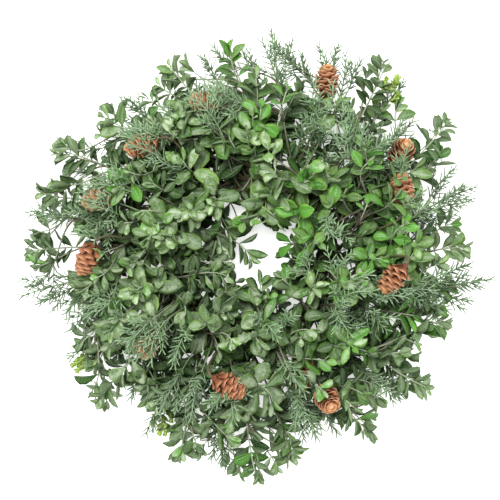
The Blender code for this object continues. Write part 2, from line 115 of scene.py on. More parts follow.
# Each cone: angle, distance and height of its middle, the way its tip points,
# how far the tip dips, and where its stalk leaves the ring.
CONES = (
    (25, 192, 74, 95, 10, 4, 45), (36, 216, 62, 60, -55, 14, 24), (68, 228, 60, 86, -15, 56, 34),
    (107, 190, 92, 172, 5, 90, 50), (134.5, 188, 92, 200, 5, 118, 40),
    (158.5, 196, 82, 200, 10, 142, 36), (180, 198, 80, 245, 15, 166, 40),
    (217, 158, 96, 270, 5, 198, 52), (258, 150, 102, 330, 5, 244, 52),
    (292, 148, 66, 262, -10, 278, 20), (297, 184, 92, 300, -60, 286, 50),
    (352, 162, 98, 228, 5, 340, 58),
)

# The cones that leafy shoots are kept away from.
OPEN_CONES = (2, 3, 7, 9, 11, 12)
# How far the cones in shade are darkened, and the others.
CONE_SHADE = 0.25
DARKER_CONES = {4: 0.5, 5: 0.4, 7: 0.55, 8: 0.6, 9: 0.95, 10: 0.7, 11: 0.5}
# Juniper tips that lie over or beside cones: angle and distance.
VEILS = (
    (102, 200), (110, 192), (106, 214), (130, 200), (138, 194), (134, 210), (155, 206), (162, 198),
    (159, 216), (213, 168), (222, 160), (217, 180), (22, 204), (290, 158), (66, 221), (71, 217),
    (105, 204), (109, 200), (112, 202), (104, 196), (108, 208), (131, 197), (135, 206), (132, 206),
    (136, 202), (137, 210), (156, 212), (161, 208), (215, 176), (220, 174),
)

# Places on the face where the foliage opens on to leaves painted near-black as shade: angle,
# distance and reach in mm.
HOLLOWS = (
    (104, 106, 20), (70, 128, 24), (154, 128, 12), (24, 124, 16), (208, 114, 15), (80, 168, 18),
    (285, 122, 13), (336, 104, 14), (128, 166, 12), (315, 168, 14), (240, 112, 12), (48, 92, 13),
    (120, 130, 12), (190, 92, 13), (262, 88, 12), (10, 150, 12), (36, 160, 11), (176, 168, 11),
)

# Small gaps where the floor shows, most by the middle: angle, distance and reach in mm.
WINDOWS = (
    (118, 62, 10), (92, 88, 9), (60, 90, 10), (2, 80, 7), (200, 76, 6), (262, 66, 7),
    (158, 196, 7), (26, 150, 6),
)

# Wide-open tips that face the front: angle, distance, size.
ROSETTES = (
    (91, 163, 1.0), (83, 128, 0.95), (168, 110, 0.9), (5, 190, 0.9), (62, 204, 1.0),
    (29, 196, 0.8), (20, 190, 0.8), (183, 144, 1.1), (196, 140, 1.1), (204, 172, 0.95),
    (14, 74, 0.9), (300, 104, 0.95), (318, 150, 0.9), (232, 96, 0.85), (142, 92, 0.9),
    (345, 126, 0.9), (118, 188, 0.85), (297, 170, 0.75),
)

# Shoots over the edge of the middle: the tip's angle, distance and height, the
# way it points, its leaf pairs and size.
MIDDLE_SHOOTS = (
    (160, 6, 55, 295, 3, 1.0), (88, 50, 84, 190, 2, 1.15), (282, 31, 52, 80, 1, 1.2),
    (5, 34, 44, 160, 1, 0.9), (232, 36, 40, 20, 1, 0.9),
    (185, 36, 66, 10, 2, 0.9), (325, 38, 58, 130, 2, 0.9), (135, 42, 58, 300, 2, 0.9),
)

# Shoots that break the outline: angle and distance of the tip, how far the
# shoot leans round from straight out, its leaf pairs and size. A shoot with no
# leaf pairs is juniper, and the others are boxwood.
RIM = (
    (358, 256, 12, 0, 0.9), (354, 268, 14, 0, 1.0), (349, 262, 8, 0, 0.9), (345, 240, 0, 0, 0.8),
    (10, 244, 0, 2, 1.0), (3, 252, -4, 2, 1.0), (18, 283, 2, 0, 0.8), (15, 266, -6, 0, 0.7),
    (24, 266, 8, 0, 0.8), (12, 244, 4, 0, 0.8), (36, 286, 26, 3, 0.9), (30, 262, 34, 2, 1.0),
    (28, 240, 30, 3, 1.0), (41, 252, 10, 0, 0.8), (38, 240, -8, 0, 0.8), (47, 258, 12, 2, 1.0),
    (50, 282, 4, 0, 0.6), (57, 282, 22, 2, 0.9), (59, 262, 22, 3, 0.8), (62, 270, 10, 0, 0.7),
    (66, 272, 30, 0, 0.9), (73, 268, 44, 0, 0.8), (77, 255, 8, 0, 0.9), (81, 262, 10, 0, 0.9),
    (85, 268, 18, 0, 1.0), (88, 262, 26, 0, 0.9), (93, 248, 2, 0, 0.8), (97, 255, -2, 1, 1.1),
    (101, 262, 12, 0, 0.8), (105, 256, 30, 0, 0.8), (109, 248, 12, 1, 1.1), (115, 254, 28, 3, 0.8),
    (119, 240, 20, 2, 0.9), (124, 236, 10, 3, 0.8), (129, 250, 16, 0, 0.7), (135, 254, 22, 2, 1.1),
    (141, 240, 24, 3, 0.9), (146, 250, -12, 0, 0.8), (149, 268, -14, 1, 0.9), (152, 276, 14, 3, 0.9),
    (155, 252, 30, 0, 0.7), (159, 250, 10, 2, 1.2), (163, 268, 12, 3, 1.0), (168, 276, 6, 0, 0.8),
    (173, 266, 6, 2, 0.9), (176, 276, 12, 3, 0.8), (182, 262, 18, 3, 1.0), (187, 278, -6, 0, 0.9),
    (191, 262, -8, 0, 0.8), (196, 240, 36, 0, 0.9), (201, 240, 16, 0, 0.9), (202, 206, 14, 2, 1.1),
    (207, 232, 24, 2, 1.2), (208, 258, -14, 0, 0.7), (214, 236, 20, 3, 1.0), (219, 252, 24, 3, 1.0),
    (224, 254, 40, 2, 0.9), (228, 226, 24, 0, 0.8), (234, 220, 10, 3, 1.0), (238, 250, 12, 0, 0.7),
    (245, 234, 10, 3, 1.0), (249, 258, 6, 2, 1.1), (254, 244, 44, 2, 0.9), (258, 246, 12, 0, 0.9),
    (262, 256, 16, 0, 0.9), (266, 262, 0, 3, 0.9), (271, 264, -2, 2, 1.0), (276, 256, 18, 3, 0.8),
    (281, 248, 36, 3, 0.9), (278, 226, 30, 2, 1.0), (285, 226, -6, 0, 0.9), (289, 228, 0, 0, 0.9),
    (295, 236, 4, 0, 0.9), (300, 228, 20, 3, 0.8), (304, 256, 4, 2, 0.8), (306, 240, 44, 1, 0.9),
    (311, 226, 6, 3, 1.2), (316, 244, -12, 0, 0.8), (320, 238, 10, 2, 1.2), (323, 258, 8, 3, 0.8),
    (328, 228, 24, 2, 1.0), (332, 222, -12, 1, 0.9), (337, 226, 18, 2, 1.1), (341, 244, 20, 2, 1.0),
    (346, 232, 10, 2, 1.0), (352, 236, 6, 2, 0.9),
)

# Juniper sprays that lie on the face: the tip's angle and distance, how far the
# spray leans round from straight out, and its size.
SPRAYS = (
    (56, 186, -150, 1.0), (60, 172, 60, 0.9), (50, 196, 20, 0.9), (64, 196, -60, 0.8),
    (21, 104, 30, 0.9), (17, 92, -70, 0.8), (352, 128, 20, 1.0), (0, 60, -40, 0.7),
    (346, 176, 10, 1.0), (350, 212, 0, 1.1), (356, 226, 30, 1.0), (285, 90, 20, 0.8),
    (254, 176, -20, 0.9), (248, 198, 20, 1.0), (262, 186, 10, 0.8), (289, 214, 10, 1.0),
    (283, 200, -30, 0.8), (166, 226, 20, 1.0), (172, 208, -10, 0.9), (36, 222, 30, 0.9),
    (42, 206, -20, 0.8), (238, 210, 10, 0.9), (315, 222, 10, 0.8), (206, 186, 20, 0.8),
    (196, 206, 0, 0.9), (122, 210, 20, 0.8), (232, 150, 30, 0.8), (322, 132, -20, 0.7),
)

# The layers of shoots that fill the wreath: the spacing of their tips, how far the
# tips are sunk below the face, where they begin and end from the middle, all in
# mm, and their leaf pairs.
BODY_LAYERS = (
    (33, 0, 42, 210, 5), (36, 34, 46, 204, 4), (38, 62, 50, 212, 3), (40, 84, 62, 206, 3),
)

# Where the front of the wreath is juniper: angle, distance and reach in mm.
JUNIPER_PATCHES = (
    (107, 202, 24), (135, 200, 26), (159, 208, 24), (182, 218, 18), (217, 172, 30),
    (250, 195, 30), (290, 196, 34), (4, 96, 24), (344, 160, 36), (350, 205, 34),
    (60, 184, 30), (40, 216, 24), (80, 236, 26), (305, 82, 18), (16, 224, 16),
    (196, 190, 20), (331, 136, 22), (228, 216, 16), (122, 156, 12), (70, 205, 18),
)

# The studio sweep: distance from the middle and height, from the floor up the wall.
SWEEP = (
    (1.4, 0), (2.6, 0), (2.9, 0.02), (3.2, 0.09), (3.45, 0.22), (3.62, 0.42), (3.72, 0.7), (3.75, 1.2),
    (3.75, 3.0),
)

BLADE_ROWS = np.array((0.0, 0.08, 0.28, 0.52, 0.76, 0.92, 1.0))
BLADE_COLUMNS = np.array((-1.0, -0.5, 0.0, 0.5, 1.0))
GOLDEN_ANGLE = 137.508

# The clear opening in the middle: where its centre is and its half-axes, in mm.
OPENING_CENTRE = (4, 5)
OPENING_REACH = (26, 36)
# Leaves lower than this, in mm, may lie in a hollow.
HOLLOW_FLOOR = 52
# The side of the wreath, in degrees, with the greyer and more frosted leaves.
GREY_SIDE = 222
# The size of each pair of leaves back from a shoot's tip, as a share of full size.
LEAF_GROWTH = (0.5, 0.8, 0.96, 1.0, 1.0, 0.95, 0.9, 0.86, 0.82, 0.8)
# A juniper spray has a side twig every so many whorls of needles.
TWIG_EVERY = 2.5
# How far the tips of veils, sprays, rosettes and other juniper shoots stand above
# the face, in mm.
VEIL_RISE, SPRAY_RISE, ROSETTE_RISE, JUNIPER_RISE = 26, 14, 7, 12
# How far back from their tips the needled stems and side shoots carry twigs.
STEM_DRESSED, SHOOT_DRESSED = 105 * MM, 62 * MM
# A sprig whose tip is nearer the middle than this has wider, fresher leaves.
INNER_REACH = 160 * MM
# A side shoot with no main stem nearer than this grows from the ring.
STEM_SEARCH = 45 * MM
BUD_SPACING = 4.6 * MM
LEAF_THICKNESS, BUD_THICKNESS, SCALE_THICKNESS = 0.45 * MM, 0.5 * MM, 1.1 * MM
CANE_POINTS, WIRE_POINTS = 230, 560
CONE_SCALES = 42
CONE_CLEARANCE = 21 * MM

# Seeds of the random draws.
SHOOT_SEED, SPRIG_SEED, CONE_SEED, CANE_SEED = 41, 1000, 200, 70

# The stage: the floor's own light, and the camera's lens and sensor in mm. The
# frame is so wide at a height a little above the floor, in metres.
FLOOR_GLOW = 0.58
LENS, SENSOR = 85, 36
FRAME_WIDTH, FRAME_HEIGHT = 0.600, 0.055
CAMERA_SHIFT = (-0.0084, 0.0072)
AIM_HEIGHT = 0.05
AIR_LIGHT = 0.08
# Each lamp: name, place, size and power.
LAMPS = (
    ("overhead_softbox", (-0.30, 0.50, 1.9), 0.8, 41.0),
    ("side_softbox", (1.2, -0.8, 1.5), 0.9, 5.0),
)


def ring_middle():
    low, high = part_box("binding_wire")
    return np.array(((low.x + high.x) / 2, (low.y + high.y) / 2, 0.0))


MIDDLE = ring_middle()


# --- Points, curves and frames -------------------------------------------


def unit(vectors):
    lengths = np.linalg.norm(vectors, axis=-1, keepdims=True)
    return vectors / np.maximum(lengths, 1e-12)


def outward(angle):
    """The level way from the middle at an angle."""
    return np.array((math.cos(math.radians(angle)), math.sin(math.radians(angle)), 0.0))


def at_polar(angle, distance_mm, height_mm):
    """The point at an angle and distance from the middle and a height."""
    return MIDDLE + outward(angle) * distance_mm * MM + UP * height_mm * MM


def by_the_ring(angle, section, reach):
    """The point beside the ring at an angle along it and an angle round its section."""
    across = RING_RADIUS + reach * math.cos(math.radians(section))
    rise = RING_HEIGHT + reach * math.sin(math.radians(section))
    return MIDDLE + outward(angle) * across + UP * rise


def bezier(start, first, second, end, count):
    share = np.linspace(0, 1, count)[:, None]
    left = 1 - share
    return (
        start * left**3
        + first * 3 * left**2 * share
        + second * 3 * left * share**2
        + end * share**3
    )


def across_from(ways, hint):
    """Unit vectors across the given ways, as near the hint as they can be."""
    ways = unit(np.asarray(ways))
    side = hint - ways * np.sum(ways * hint, axis=-1, keepdims=True)
    flat = np.linalg.norm(side, axis=-1, keepdims=True) < 1e-4
    spare = np.array((0.31, 0.87, 0.38))
    side = np.where(flat, spare - ways * np.sum(ways * spare, axis=-1, keepdims=True), side)
    return unit(side)


def frames(path):
    """Tangents, sides and normals of a path, carried along it without a twist."""
    ahead = unit(np.gradient(path, axis=0))
    side = across_from(ahead[0], UP)
    sides = []
    for way in ahead:
        side = across_from(way, side)
        sides.append(side)
    sides = np.array(sides)
    return ahead, sides, np.cross(ahead, sides)


def stations(path, distances):
    """Index positions along a path for distances measured back from its tip."""
    steps = np.linalg.norm(np.diff(path, axis=0), axis=1)
    from_tip = np.concatenate(([0.0], np.cumsum(steps[::-1])))[::-1]
    index = np.interp(-np.asarray(distances), -from_tip, np.arange(len(path)))
    return index, from_tip[0]


def sample(values, index):
    """Values of a path between its points, at index positions along it."""
    low = np.clip(np.floor(index).astype(int), 0, len(values) - 2)
    share = (index - low)[:, None]
    return values[low] * (1 - share) + values[low + 1] * share


def along_stem(path, distances):
    """A stem's length, and its points, ways, sides and normals so far back from its tip."""
    index, total = stations(path, distances)
    return total, [sample(values, index) for values in (path, *frames(path))]


def turned(first, second, degrees):
    """The way that lies so many degrees from the first towards the second."""
    turn = math.radians(degrees)
    return first * math.cos(turn) + second * math.sin(turn)


# --- Meshes --------------------------------------------------------------


class Bundle:
    """What one piece is made of: stems, blades and needles, each with a finish."""

    def __init__(self):
        self.parts = []
        self.blades = {}
        self.needles = []

    def add(self, points, groups, growth, finish):
        """Adds points with the faces on them, in groups of (faces, places on the blade)."""
        self.parts.append((points, groups, growth, finish))

    def stem(self, path, radii, sides, growth, finish):
        ahead, side, normal = frames(path)
        turns = 2 * np.pi * np.arange(sides) / sides
        rings = (
            path[:, None]
            + side[:, None] * (np.cos(turns)[None, :, None] * radii[:, None, None])
            + normal[:, None] * (np.sin(turns)[None, :, None] * radii[:, None, None])
        )
        count = len(path)
        points = np.concatenate((rings.reshape(-1, 3), path[:1], path[-1:]))
        ring, turn = np.meshgrid(np.arange(count - 1), np.arange(sides), indexing="ij")
        after = (turn + 1) % sides
        this, beyond = ring * sides, (ring + 1) * sides
        quads = np.stack((this + turn, this + after, beyond + after, beyond + turn), axis=-1).reshape(-1, 4)
        turn = np.arange(sides)
        after = (turn + 1) % sides
        back = np.stack((after, turn, np.full(sides, count * sides)), axis=-1)
        last = (count - 1) * sides
        front = np.stack((last + turn, last + after, np.full(sides, count * sides + 1)), axis=-1)
        along = np.concatenate((np.repeat(np.linspace(0, 1, count), sides), (0.0, 1.0)))
        round_it = np.concatenate((np.tile(np.arange(sides) / sides, count), (0.5, 0.5)))
        places = np.stack((along, round_it), axis=-1)
        growth = np.broadcast_to(np.asarray(growth, float), (len(points), 3))
        self.add(points, [(faces, places[faces]) for faces in (quads, back, front)], growth, finish)

    def blade(self, finish, **shape):
        self.blades.setdefault(finish, []).append(shape)

    def needle(self, *shape):
        self.needles.append(shape)

    def make(self, name, finishes):
        """The piece as one mesh object with its finishes in the given order."""
        for finish, shapes in self.blades.items():
            self.add(*blades(shapes), finish)
        if self.needles:
            self.add(*needles(self.needles), NEEDLE)
        return mesh_object(name, self.parts, finishes)


def blades(shapes):
    """Thin closed blades from shape dictionaries, every blade on one grid."""

    def column(key):
        return np.array([shape[key] for shape in shapes], float)

    rows, columns = BLADE_ROWS, BLADE_COLUMNS
    ahead = unit(column("ahead"))
    normal = across_from(ahead, column("facing"))
    side = np.cross(normal, ahead)
    length, width, bend, cup = (column(key)[:, None] for key in ("length", "width", "bend", "cup"))
    twist, fullest, blunt, foot = (column(key)[:, None] for key in ("twist", "fullest", "blunt", "foot"))
    wave, thick, groove = (column(key)[:, None] for key in ("wave", "thick", "groove"))
    outline = np.sin(np.pi * rows[None] ** fullest) ** blunt
    base = foot * np.clip(1 - rows[None] * 1.6, 0, 1)
    half = width / 2 * np.maximum(np.maximum(outline, base), 0.05)
    turn = bend * rows[None]
    steps = np.diff(rows)[None]
    middle_turn = (turn[:, 1:] + turn[:, :-1]) / 2
    start = np.zeros_like(length)
    along, drop = (
        np.concatenate((start, np.cumsum(share(middle_turn) * steps, axis=1)), axis=1) * length
        for share in (np.cos, np.sin)
    )
    spread = half[:, :, None] * columns[None, None]
    lift = cup[:, :, None] * half[:, :, None] * columns[None, None] ** 2
    lift = lift + (wave * np.sin(7 * rows[None] + 40 * wave))[:, :, None] * spread
    lift = lift - (groove * half)[:, :, None] * (columns[None, None] == 0)
    roll = (twist * rows[None])[:, :, None]
    flat = spread * np.cos(roll) - lift * np.sin(roll)
    high = spread * np.sin(roll) + lift * np.cos(roll)
    # The cross-section leans with the blade's bend.
    lean = turn[:, :, None]
    forward = along[:, :, None] + high * np.sin(lean)
    rise = -drop[:, :, None] + high * np.cos(lean)
    root = column("root")

    def place(forward, flat, rise):
        return (
            root[:, None, None]
            + ahead[:, None, None] * forward[..., None]
            + side[:, None, None] * flat[..., None]
            + normal[:, None, None] * rise[..., None]
        )

    top = place(forward, flat, rise)
    inner = slice(1, -1)
    under = place(forward[:, inner, inner], flat[:, inner, inner], rise[:, inner, inner] - thick[:, :, None])
    count, wide, tall = len(shapes), len(columns), len(rows)
    points = within_reach(np.concatenate((top.reshape(count, -1, 3), under.reshape(count, -1, 3)), axis=1))
    grid = np.arange(tall * wide).reshape(tall, wide)
    below = grid.copy()
    below[inner, inner] = tall * wide + np.arange((tall - 2) * (wide - 2)).reshape(tall - 2, wide - 2)

    def quads(index, order):
        corners = (index[:-1, :-1], index[1:, :-1], index[1:, 1:], index[:-1, 1:])
        return np.stack([corners[corner].reshape(-1) for corner in order], axis=-1)

    upper, lower = quads(grid, (0, 1, 2, 3)), quads(below, (3, 2, 1, 0))
    place_u = np.repeat(rows, wide)
    place_v = np.tile((columns + 1) / 2, tall)
    flat_grid = quads(grid, (3, 2, 1, 0))
    places = np.concatenate(
        (
            np.stack((place_u[upper], place_v[upper]), axis=-1),
            np.stack((place_u[flat_grid], place_v[flat_grid] + 1.5), axis=-1),
        )
    )
    faces = np.concatenate((upper, lower))
    offsets = (np.arange(count) * points.shape[1])[:, None, None]
    growth = np.repeat(column("growth"), points.shape[1], axis=0)
    group = (faces[None] + offsets).reshape(-1, 4), np.tile(places, (count, 1, 1))
    return points.reshape(-1, 3), [group], growth


def within_reach(points):
    """The same leaves, each moved whole so that it clears the floor and the top."""
    low, high = points[:, :, 2].min(axis=1), points[:, :, 2].max(axis=1)
    points[:, :, 2] += (np.maximum(LOWEST - low, 0) - np.maximum(high - HIGHEST, 0))[:, None]
    return points


def needles(shapes):
    """Pointed needles, three-sided and a little flattened."""
    root, ahead, facing, length, radius, growth = (np.array(values) for values in zip(*shapes))
    ahead = unit(ahead)
    normal = across_from(ahead, facing)
    side = np.cross(normal, ahead)
    length, radius = length[:, None], radius[:, None]
    turns = np.radians((90, 210, 330))
    rings = []
    for share, fat, bow in ((0.0, 0.95, 0.0), (0.7, 1.0, 0.045)):
        hub = root + ahead * length * share + normal * length * bow
        for turn in turns:
            across = side * radius * fat * math.cos(turn)
            rings.append(hub + across + normal * radius * 0.6 * fat * math.sin(turn))
    points = within_reach(np.stack(rings + [root + ahead * length], axis=1))
    count, corners = points.shape[:2]
    offsets = (np.arange(count) * corners)[:, None, None]
    quads = np.array([((k + 1) % 3, (k + 1) % 3 + 3, k + 3, k) for k in range(3)])
    caps = np.array([(0, 1, 2), (4, 6, 3), (5, 6, 4), (3, 6, 5)])
    growth = np.repeat(growth, corners, axis=0)
    share = np.array((0, 0, 0, 0.7, 0.7, 0.7, 1.0))
    places = np.stack((share, np.full(corners, 0.5)), axis=-1)
    groups = [
        ((faces[None] + offsets).reshape(-1, faces.shape[1]), np.tile(places[faces], (count, 1, 1)))
        for faces in (quads, caps)
    ]
    return points.reshape(-1, 3), groups, growth


def mesh_object(name, parts, finishes):
    """One mesh object from the parts, with their faces, places, growth and finishes."""
    points, corners, totals, places, growth, indices = [], [], [], [], [], []
    start = 0
    for part_points, groups, part_growth, finish in parts:
        points.append(part_points)
        growth.append(part_growth)
        for faces, part_places in groups:
            corners.append((faces + start).reshape(-1))
            totals.append(np.full(len(faces), faces.shape[1]))
            places.append(part_places.reshape(-1, 2))
            indices.append(np.full(len(faces), finish))
        start += len(part_points)
    points, corners, totals = np.concatenate(points), np.concatenate(corners), np.concatenate(totals)
    points[:, 2] = np.clip(points[:, 2], LOWEST, HIGHEST)
    mesh = bpy.data.meshes.new(name)
    mesh.vertices.add(len(points))
    mesh.vertices.foreach_set("co", points.astype(np.float32).reshape(-1))
    mesh.loops.add(len(corners))
    mesh.loops.foreach_set("vertex_index", corners.astype(np.int32))
    mesh.polygons.add(len(totals))
    mesh.polygons.foreach_set("loop_start", (np.cumsum(totals) - totals).astype(np.int32))
    mesh.polygons.foreach_set("material_index", np.concatenate(indices).astype(np.int32))
    mesh.polygons.foreach_set("use_smooth", np.ones(len(totals), bool))
    layer = mesh.uv_layers.new(name="blade")
    mesh.update(calc_edges=True)
    layer.data.foreach_set("uv", np.concatenate(places).astype(np.float32).reshape(-1))
    trait = mesh.attributes.new("growth", "FLOAT_VECTOR", "POINT")
    trait.data.foreach_set("vector", np.concatenate(growth).astype(np.float32).reshape(-1))
    if mesh.validate():
        raise RuntimeError(f"{name} came out with faces that don't hold together")
    for finish in finishes:
        mesh.materials.append(finish)
    piece = bpy.data.objects.new(name, mesh)
    bpy.context.scene.collection.objects.link(piece)
    return piece


# --- Finishes ------------------------------------------------------------


class Value:
    """A socket of a finish, on which arithmetic adds Math nodes."""

    def __init__(self, finish, socket):
        self.finish = finish
        self.socket = socket

    def maths(self, operation, *values, clamp=False):
        settings = {"operation": operation, "use_clamp": clamp}
        return self.finish.node("ShaderNodeMath", settings, dict(enumerate(values)))

    def __add__(self, other):
        return self.maths("ADD", self, other)

    def __radd__(self, other):
        return self.maths("ADD", other, self)

    def __sub__(self, other):
        return self.maths("SUBTRACT", self, other)

    def __rsub__(self, other):
        return self.maths("SUBTRACT", other, self)

    def __mul__(self, other):
        return self.maths("MULTIPLY", self, other)

    def __abs__(self):
        return self.maths("ABSOLUTE", self)

    def clamped(self):
        return self.maths("ADD", self, 0.0, clamp=True)

    def sine(self):
        return self.maths("SINE", self)

    def rising(self, low, high):
        """0 below low, 1 above high, and smooth between."""
        settings = {"interpolation_type": "SMOOTHSTEP"}
        inputs = {"Value": self, "From Min": low, "From Max": high}
        return self.finish.node("ShaderNodeMapRange", settings, inputs)


class Finish:
    """A material being made, with one shader."""

    def __init__(self, name):
        self.material = bpy.data.materials.new(name)
        self.material.use_nodes = True
        self.tree = self.material.node_tree
        self.shader = self.tree.nodes["Principled BSDF"]

    def node(self, kind, settings, inputs, output=0):
        node = self.tree.nodes.new(kind)
        for name, value in settings.items():
            setattr(node, name, value)
        for name, value in inputs.items():
            self.feed(node.inputs[name], value)
        return Value(self, node.outputs[output])

    def feed(self, socket, value):
        if isinstance(value, Value):
            self.tree.links.new(value.socket, socket)
        else:
            socket.default_value = value

    def set(self, **inputs):
        for name, value in inputs.items():
            self.feed(self.shader.inputs[name.replace("_", " ")], value)

    def mix(self, share, low, high):
        settings = {"data_type": "RGBA", "blend_type": "MIX", "clamp_factor": True}
        return self.node("ShaderNodeMix", settings, {0: share, 6: rgba(low), 7: rgba(high)}, 2)

    def noise(self, scale, detail=3.0):
        place = self.node("ShaderNodeTexCoord", {}, {}, "Object")
        return self.node("ShaderNodeTexNoise", {}, {"Vector": place, "Scale": scale, "Detail": detail})

    def parts(self, vector):
        return [self.node("ShaderNodeSeparateXYZ", {}, {0: vector}, axis) for axis in range(3)]

    def growth(self):
        trait = self.node("ShaderNodeAttribute", {"attribute_name": "growth"}, {}, "Vector")
        return self.parts(trait)

    def blade_place(self):
        """Along the blade, out from its midrib, across it, and 1 on its underside."""
        place = self.node("ShaderNodeUVMap", {"uv_map": "blade"}, {})
        along, across, _ = self.parts(place)
        under = across.maths("GREATER_THAN", across, 1.25)
        across = across - under * 1.5
        return along, abs(across - 0.5) * 2.0, across, under

    def bump(self, height, strength, distance):
        inputs = {"Height": height, "Strength": strength, "Distance": distance}
        self.set(Normal=self.node("ShaderNodeBump", {}, inputs))


def rgba(colour):
    return colour if isinstance(colour, Value) else (*tuple(colour)[:3], 1.0)


def leaf_finish(colours):
    """Boxwood: a frosted middle, a yellow-green margin and a pale midrib, with near-black painted shade on
    leaves low in the wreath.
    """
    finish = Finish("boxwood_leaf")
    along, out, across, under = finish.blade_place()
    tone, age_and_shade, bloom = finish.growth()
    mottle = finish.noise(125.0)
    grain = finish.noise(420.0, 2.0)
    fresh = finish.mix(tone.rising(0.02, 0.3), colours.leaf_vivid, colours.leaf_young)
    green = finish.mix((tone * 0.9 + mottle * 0.5 - 0.25).clamped(), fresh, colours.leaf_sage)
    shoulder = out.rising(0.35, 0.95)
    patches = mottle.rising(0.40, 0.60) * 0.85 + grain * 0.25
    frosted = ((1 - shoulder) * bloom.rising(0.1, 0.8) * patches).clamped()
    green = finish.mix(frosted * 0.85, green, colours.leaf_bloom)
    # Old leaves, and leaves low in the wreath as painted shade, darken towards near-black green.
    green = finish.mix(age_and_shade * 0.92, green, colours.old_leaf_and_painted_shade)
    green = finish.mix(out.rising(0.62, 1.0) * (1 - age_and_shade) * 0.75, green, colours.leaf_margin)
    vein = ((along * 44.0 + out * -7.0).sine() * 0.5 + 0.5).rising(0.72, 1.0) * (1 - out)
    green = finish.mix(vein * 0.16, green, colours.leaf_rib)
    rib = (1 - out.rising(0.02, 0.10)) * (1 - along.rising(0.75, 1.0))
    green = finish.mix(rib * 0.32, green, colours.leaf_rib)
    below = finish.mix((mottle * 0.8 + tone * 0.4 - 0.2).clamped(), colours.leaf_under, colours.leaf_sage)
    below = finish.mix(rib * 0.5 + vein * 0.2, below, colours.leaf_rib)
    # The underside darkens the same way, for older leaves and as painted shade on low ones.
    below = finish.mix(age_and_shade * 0.55, below, colours.old_leaf_and_painted_shade)
    colour = finish.mix(under, green, below)
    colour = finish.mix(grain.rising(0.35, 0.75) * 0.16, colour, colours.old_leaf_and_painted_shade)
    finish.set(Base_Color=colour, Roughness=0.38 + frosted * 0.22 + under * 0.15)
    finish.shader.inputs["Specular IOR Level"].default_value = 0.35
    finish.bump(vein * -0.5 + rib * -1.0 + grain * 0.35, 0.35, 0.0006)
    return finish.material


def needle_finish(colours):
    """Juniper needles: sage, paler towards each twig's tip and down each needle's face."""
    finish = Finish("juniper_needle")
    along, _, _, _ = finish.blade_place()
    tone, age_and_shade, bloom = finish.growth()
    mottle = finish.noise(120.0)
    green = finish.mix((tone * 0.8 + mottle * 0.4 - 0.1).clamped(), colours.needle_sage, colours.needle_blue)
    # Older needles, and needles on low shoots as painted shade, darken towards near-black green.
    green = finish.mix(age_and_shade, green, colours.old_needle_and_painted_shade)
    green = finish.mix(bloom * along.rising(0.1, 0.8) * 0.5, green, colours.needle_tip)
    finish.set(Base_Color=green, Roughness=0.62)
    finish.bump(mottle, 0.2, 0.0003)
    return finish.material


def twig_finish(name, green, brown, scale):
    """Young wood: green at the tip and browner towards the ring."""
    finish = Finish(name)
    along, _, _, _ = finish.blade_place()
    streak = finish.noise(scale)
    colour = finish.mix((along * 1.15 + streak * 0.5 - 0.35).clamped(), brown, green)
    finish.set(Base_Color=colour, Roughness=0.7)
    finish.bump(streak, 0.4, 0.0005)
    return finish.material


def bud_finish(colours):
    """Young tip leaves: yellow-green, fresher at the margin."""
    finish = Finish("young_bud")
    along, out, _, under = finish.blade_place()
    tone, age_and_shade, _ = finish.growth()
    mottle = finish.noise(160.0)
    green = finish.mix((tone * 0.8 + mottle * 0.4 - 0.1).clamped(), colours.bud_light, colours.bud_deep)
    green = finish.mix(age_and_shade, green, colours.old_leaf_and_painted_shade)
    green = finish.mix(out.rising(0.5, 1.0) * 0.5, green, colours.bud_light)
    rib = 1 - out.rising(0.03, 0.16)
    green = finish.mix(rib * 0.35 + under * 0.25, green, colours.leaf_rib)
    finish.set(Base_Color=green, Roughness=0.48 + along * 0.1)
    finish.bump(mottle, 0.25, 0.0003)
    return finish.material


def scale_finish(colours):
    """Cone scales: painted shade where they overlap, terracotta, then a pale thin rim."""
    finish = Finish("cone_scale")
    along, out, across, under = finish.blade_place()
    tone, tip, shade = finish.growth()
    grain = finish.noise(260.0, 4.0)
    streak = finish.node(
        "ShaderNodeTexNoise", {"noise_dimensions": "1D"}, {"W": across * 14.0 + tone * 9.0, "Scale": 1.0}
    )
    # The foot of each scale, where the next scale covers it, is painted dark as shade.
    brown = finish.mix(along.rising(0.25, 0.85), colours.cone_overlap_shade, colours.cone_clay)
    brown = finish.mix((streak.rising(0.35, 0.7) * 0.4 + tone * 0.25).clamped(), brown, colours.cone_streak_and_shade)
    rim = (along.rising(0.86, 1.0) + out.rising(0.8, 1.0) * along.rising(0.5, 0.8)).clamped()
    brown = finish.mix(rim * 0.7, brown, colours.cone_rim)
    brown = finish.mix(tip.rising(0.62, 1.0) * 0.6 * along.rising(0.3, 0.8), brown, colours.cone_tip)
    # The top face near the foot is painted darker still as shade.
    brown = finish.mix((1 - under) * 0.5 * (1 - along.rising(0.5, 0.9)), brown, colours.cone_overlap_shade)
    # Cones that sit in shade are darkened towards the streak colour: painted shade.
    brown = finish.mix(shade * 0.5 * (1 - rim * 0.6), brown, colours.cone_streak_and_shade)
    finish.set(Base_Color=brown, Roughness=0.58 + grain * 0.2)
    finish.bump(grain * 0.6 + streak * 0.6, 0.5, 0.0006)
    return finish.material


def bark_finish(colours):
    """Vine bark: loose grey-brown strips over darker fibres."""
    finish = Finish("vine_bark")
    along, round_it, _ = finish.parts(finish.node("ShaderNodeUVMap", {"uv_map": "blade"}, {}))
    coordinates = finish.node("ShaderNodeCombineXYZ", {}, {0: along * 46.0, 1: round_it * 9.0, 2: 0.0})
    strips = finish.node("ShaderNodeTexNoise", {}, {"Vector": coordinates, "Scale": 2.2, "Detail": 6.0})
    fibres = finish.noise(700.0, 4.0)
    bark = finish.mix(strips.rising(0.38, 0.66), colours.bark_dark, colours.bark_light)
    bark = finish.mix(fibres.rising(0.4, 0.8) * 0.35, bark, colours.bark_grey)
    finish.set(Base_Color=bark, Roughness=0.86)
    finish.bump(strips * 1.4 + fibres * 0.4, 0.8, 0.0016)
    return finish.material


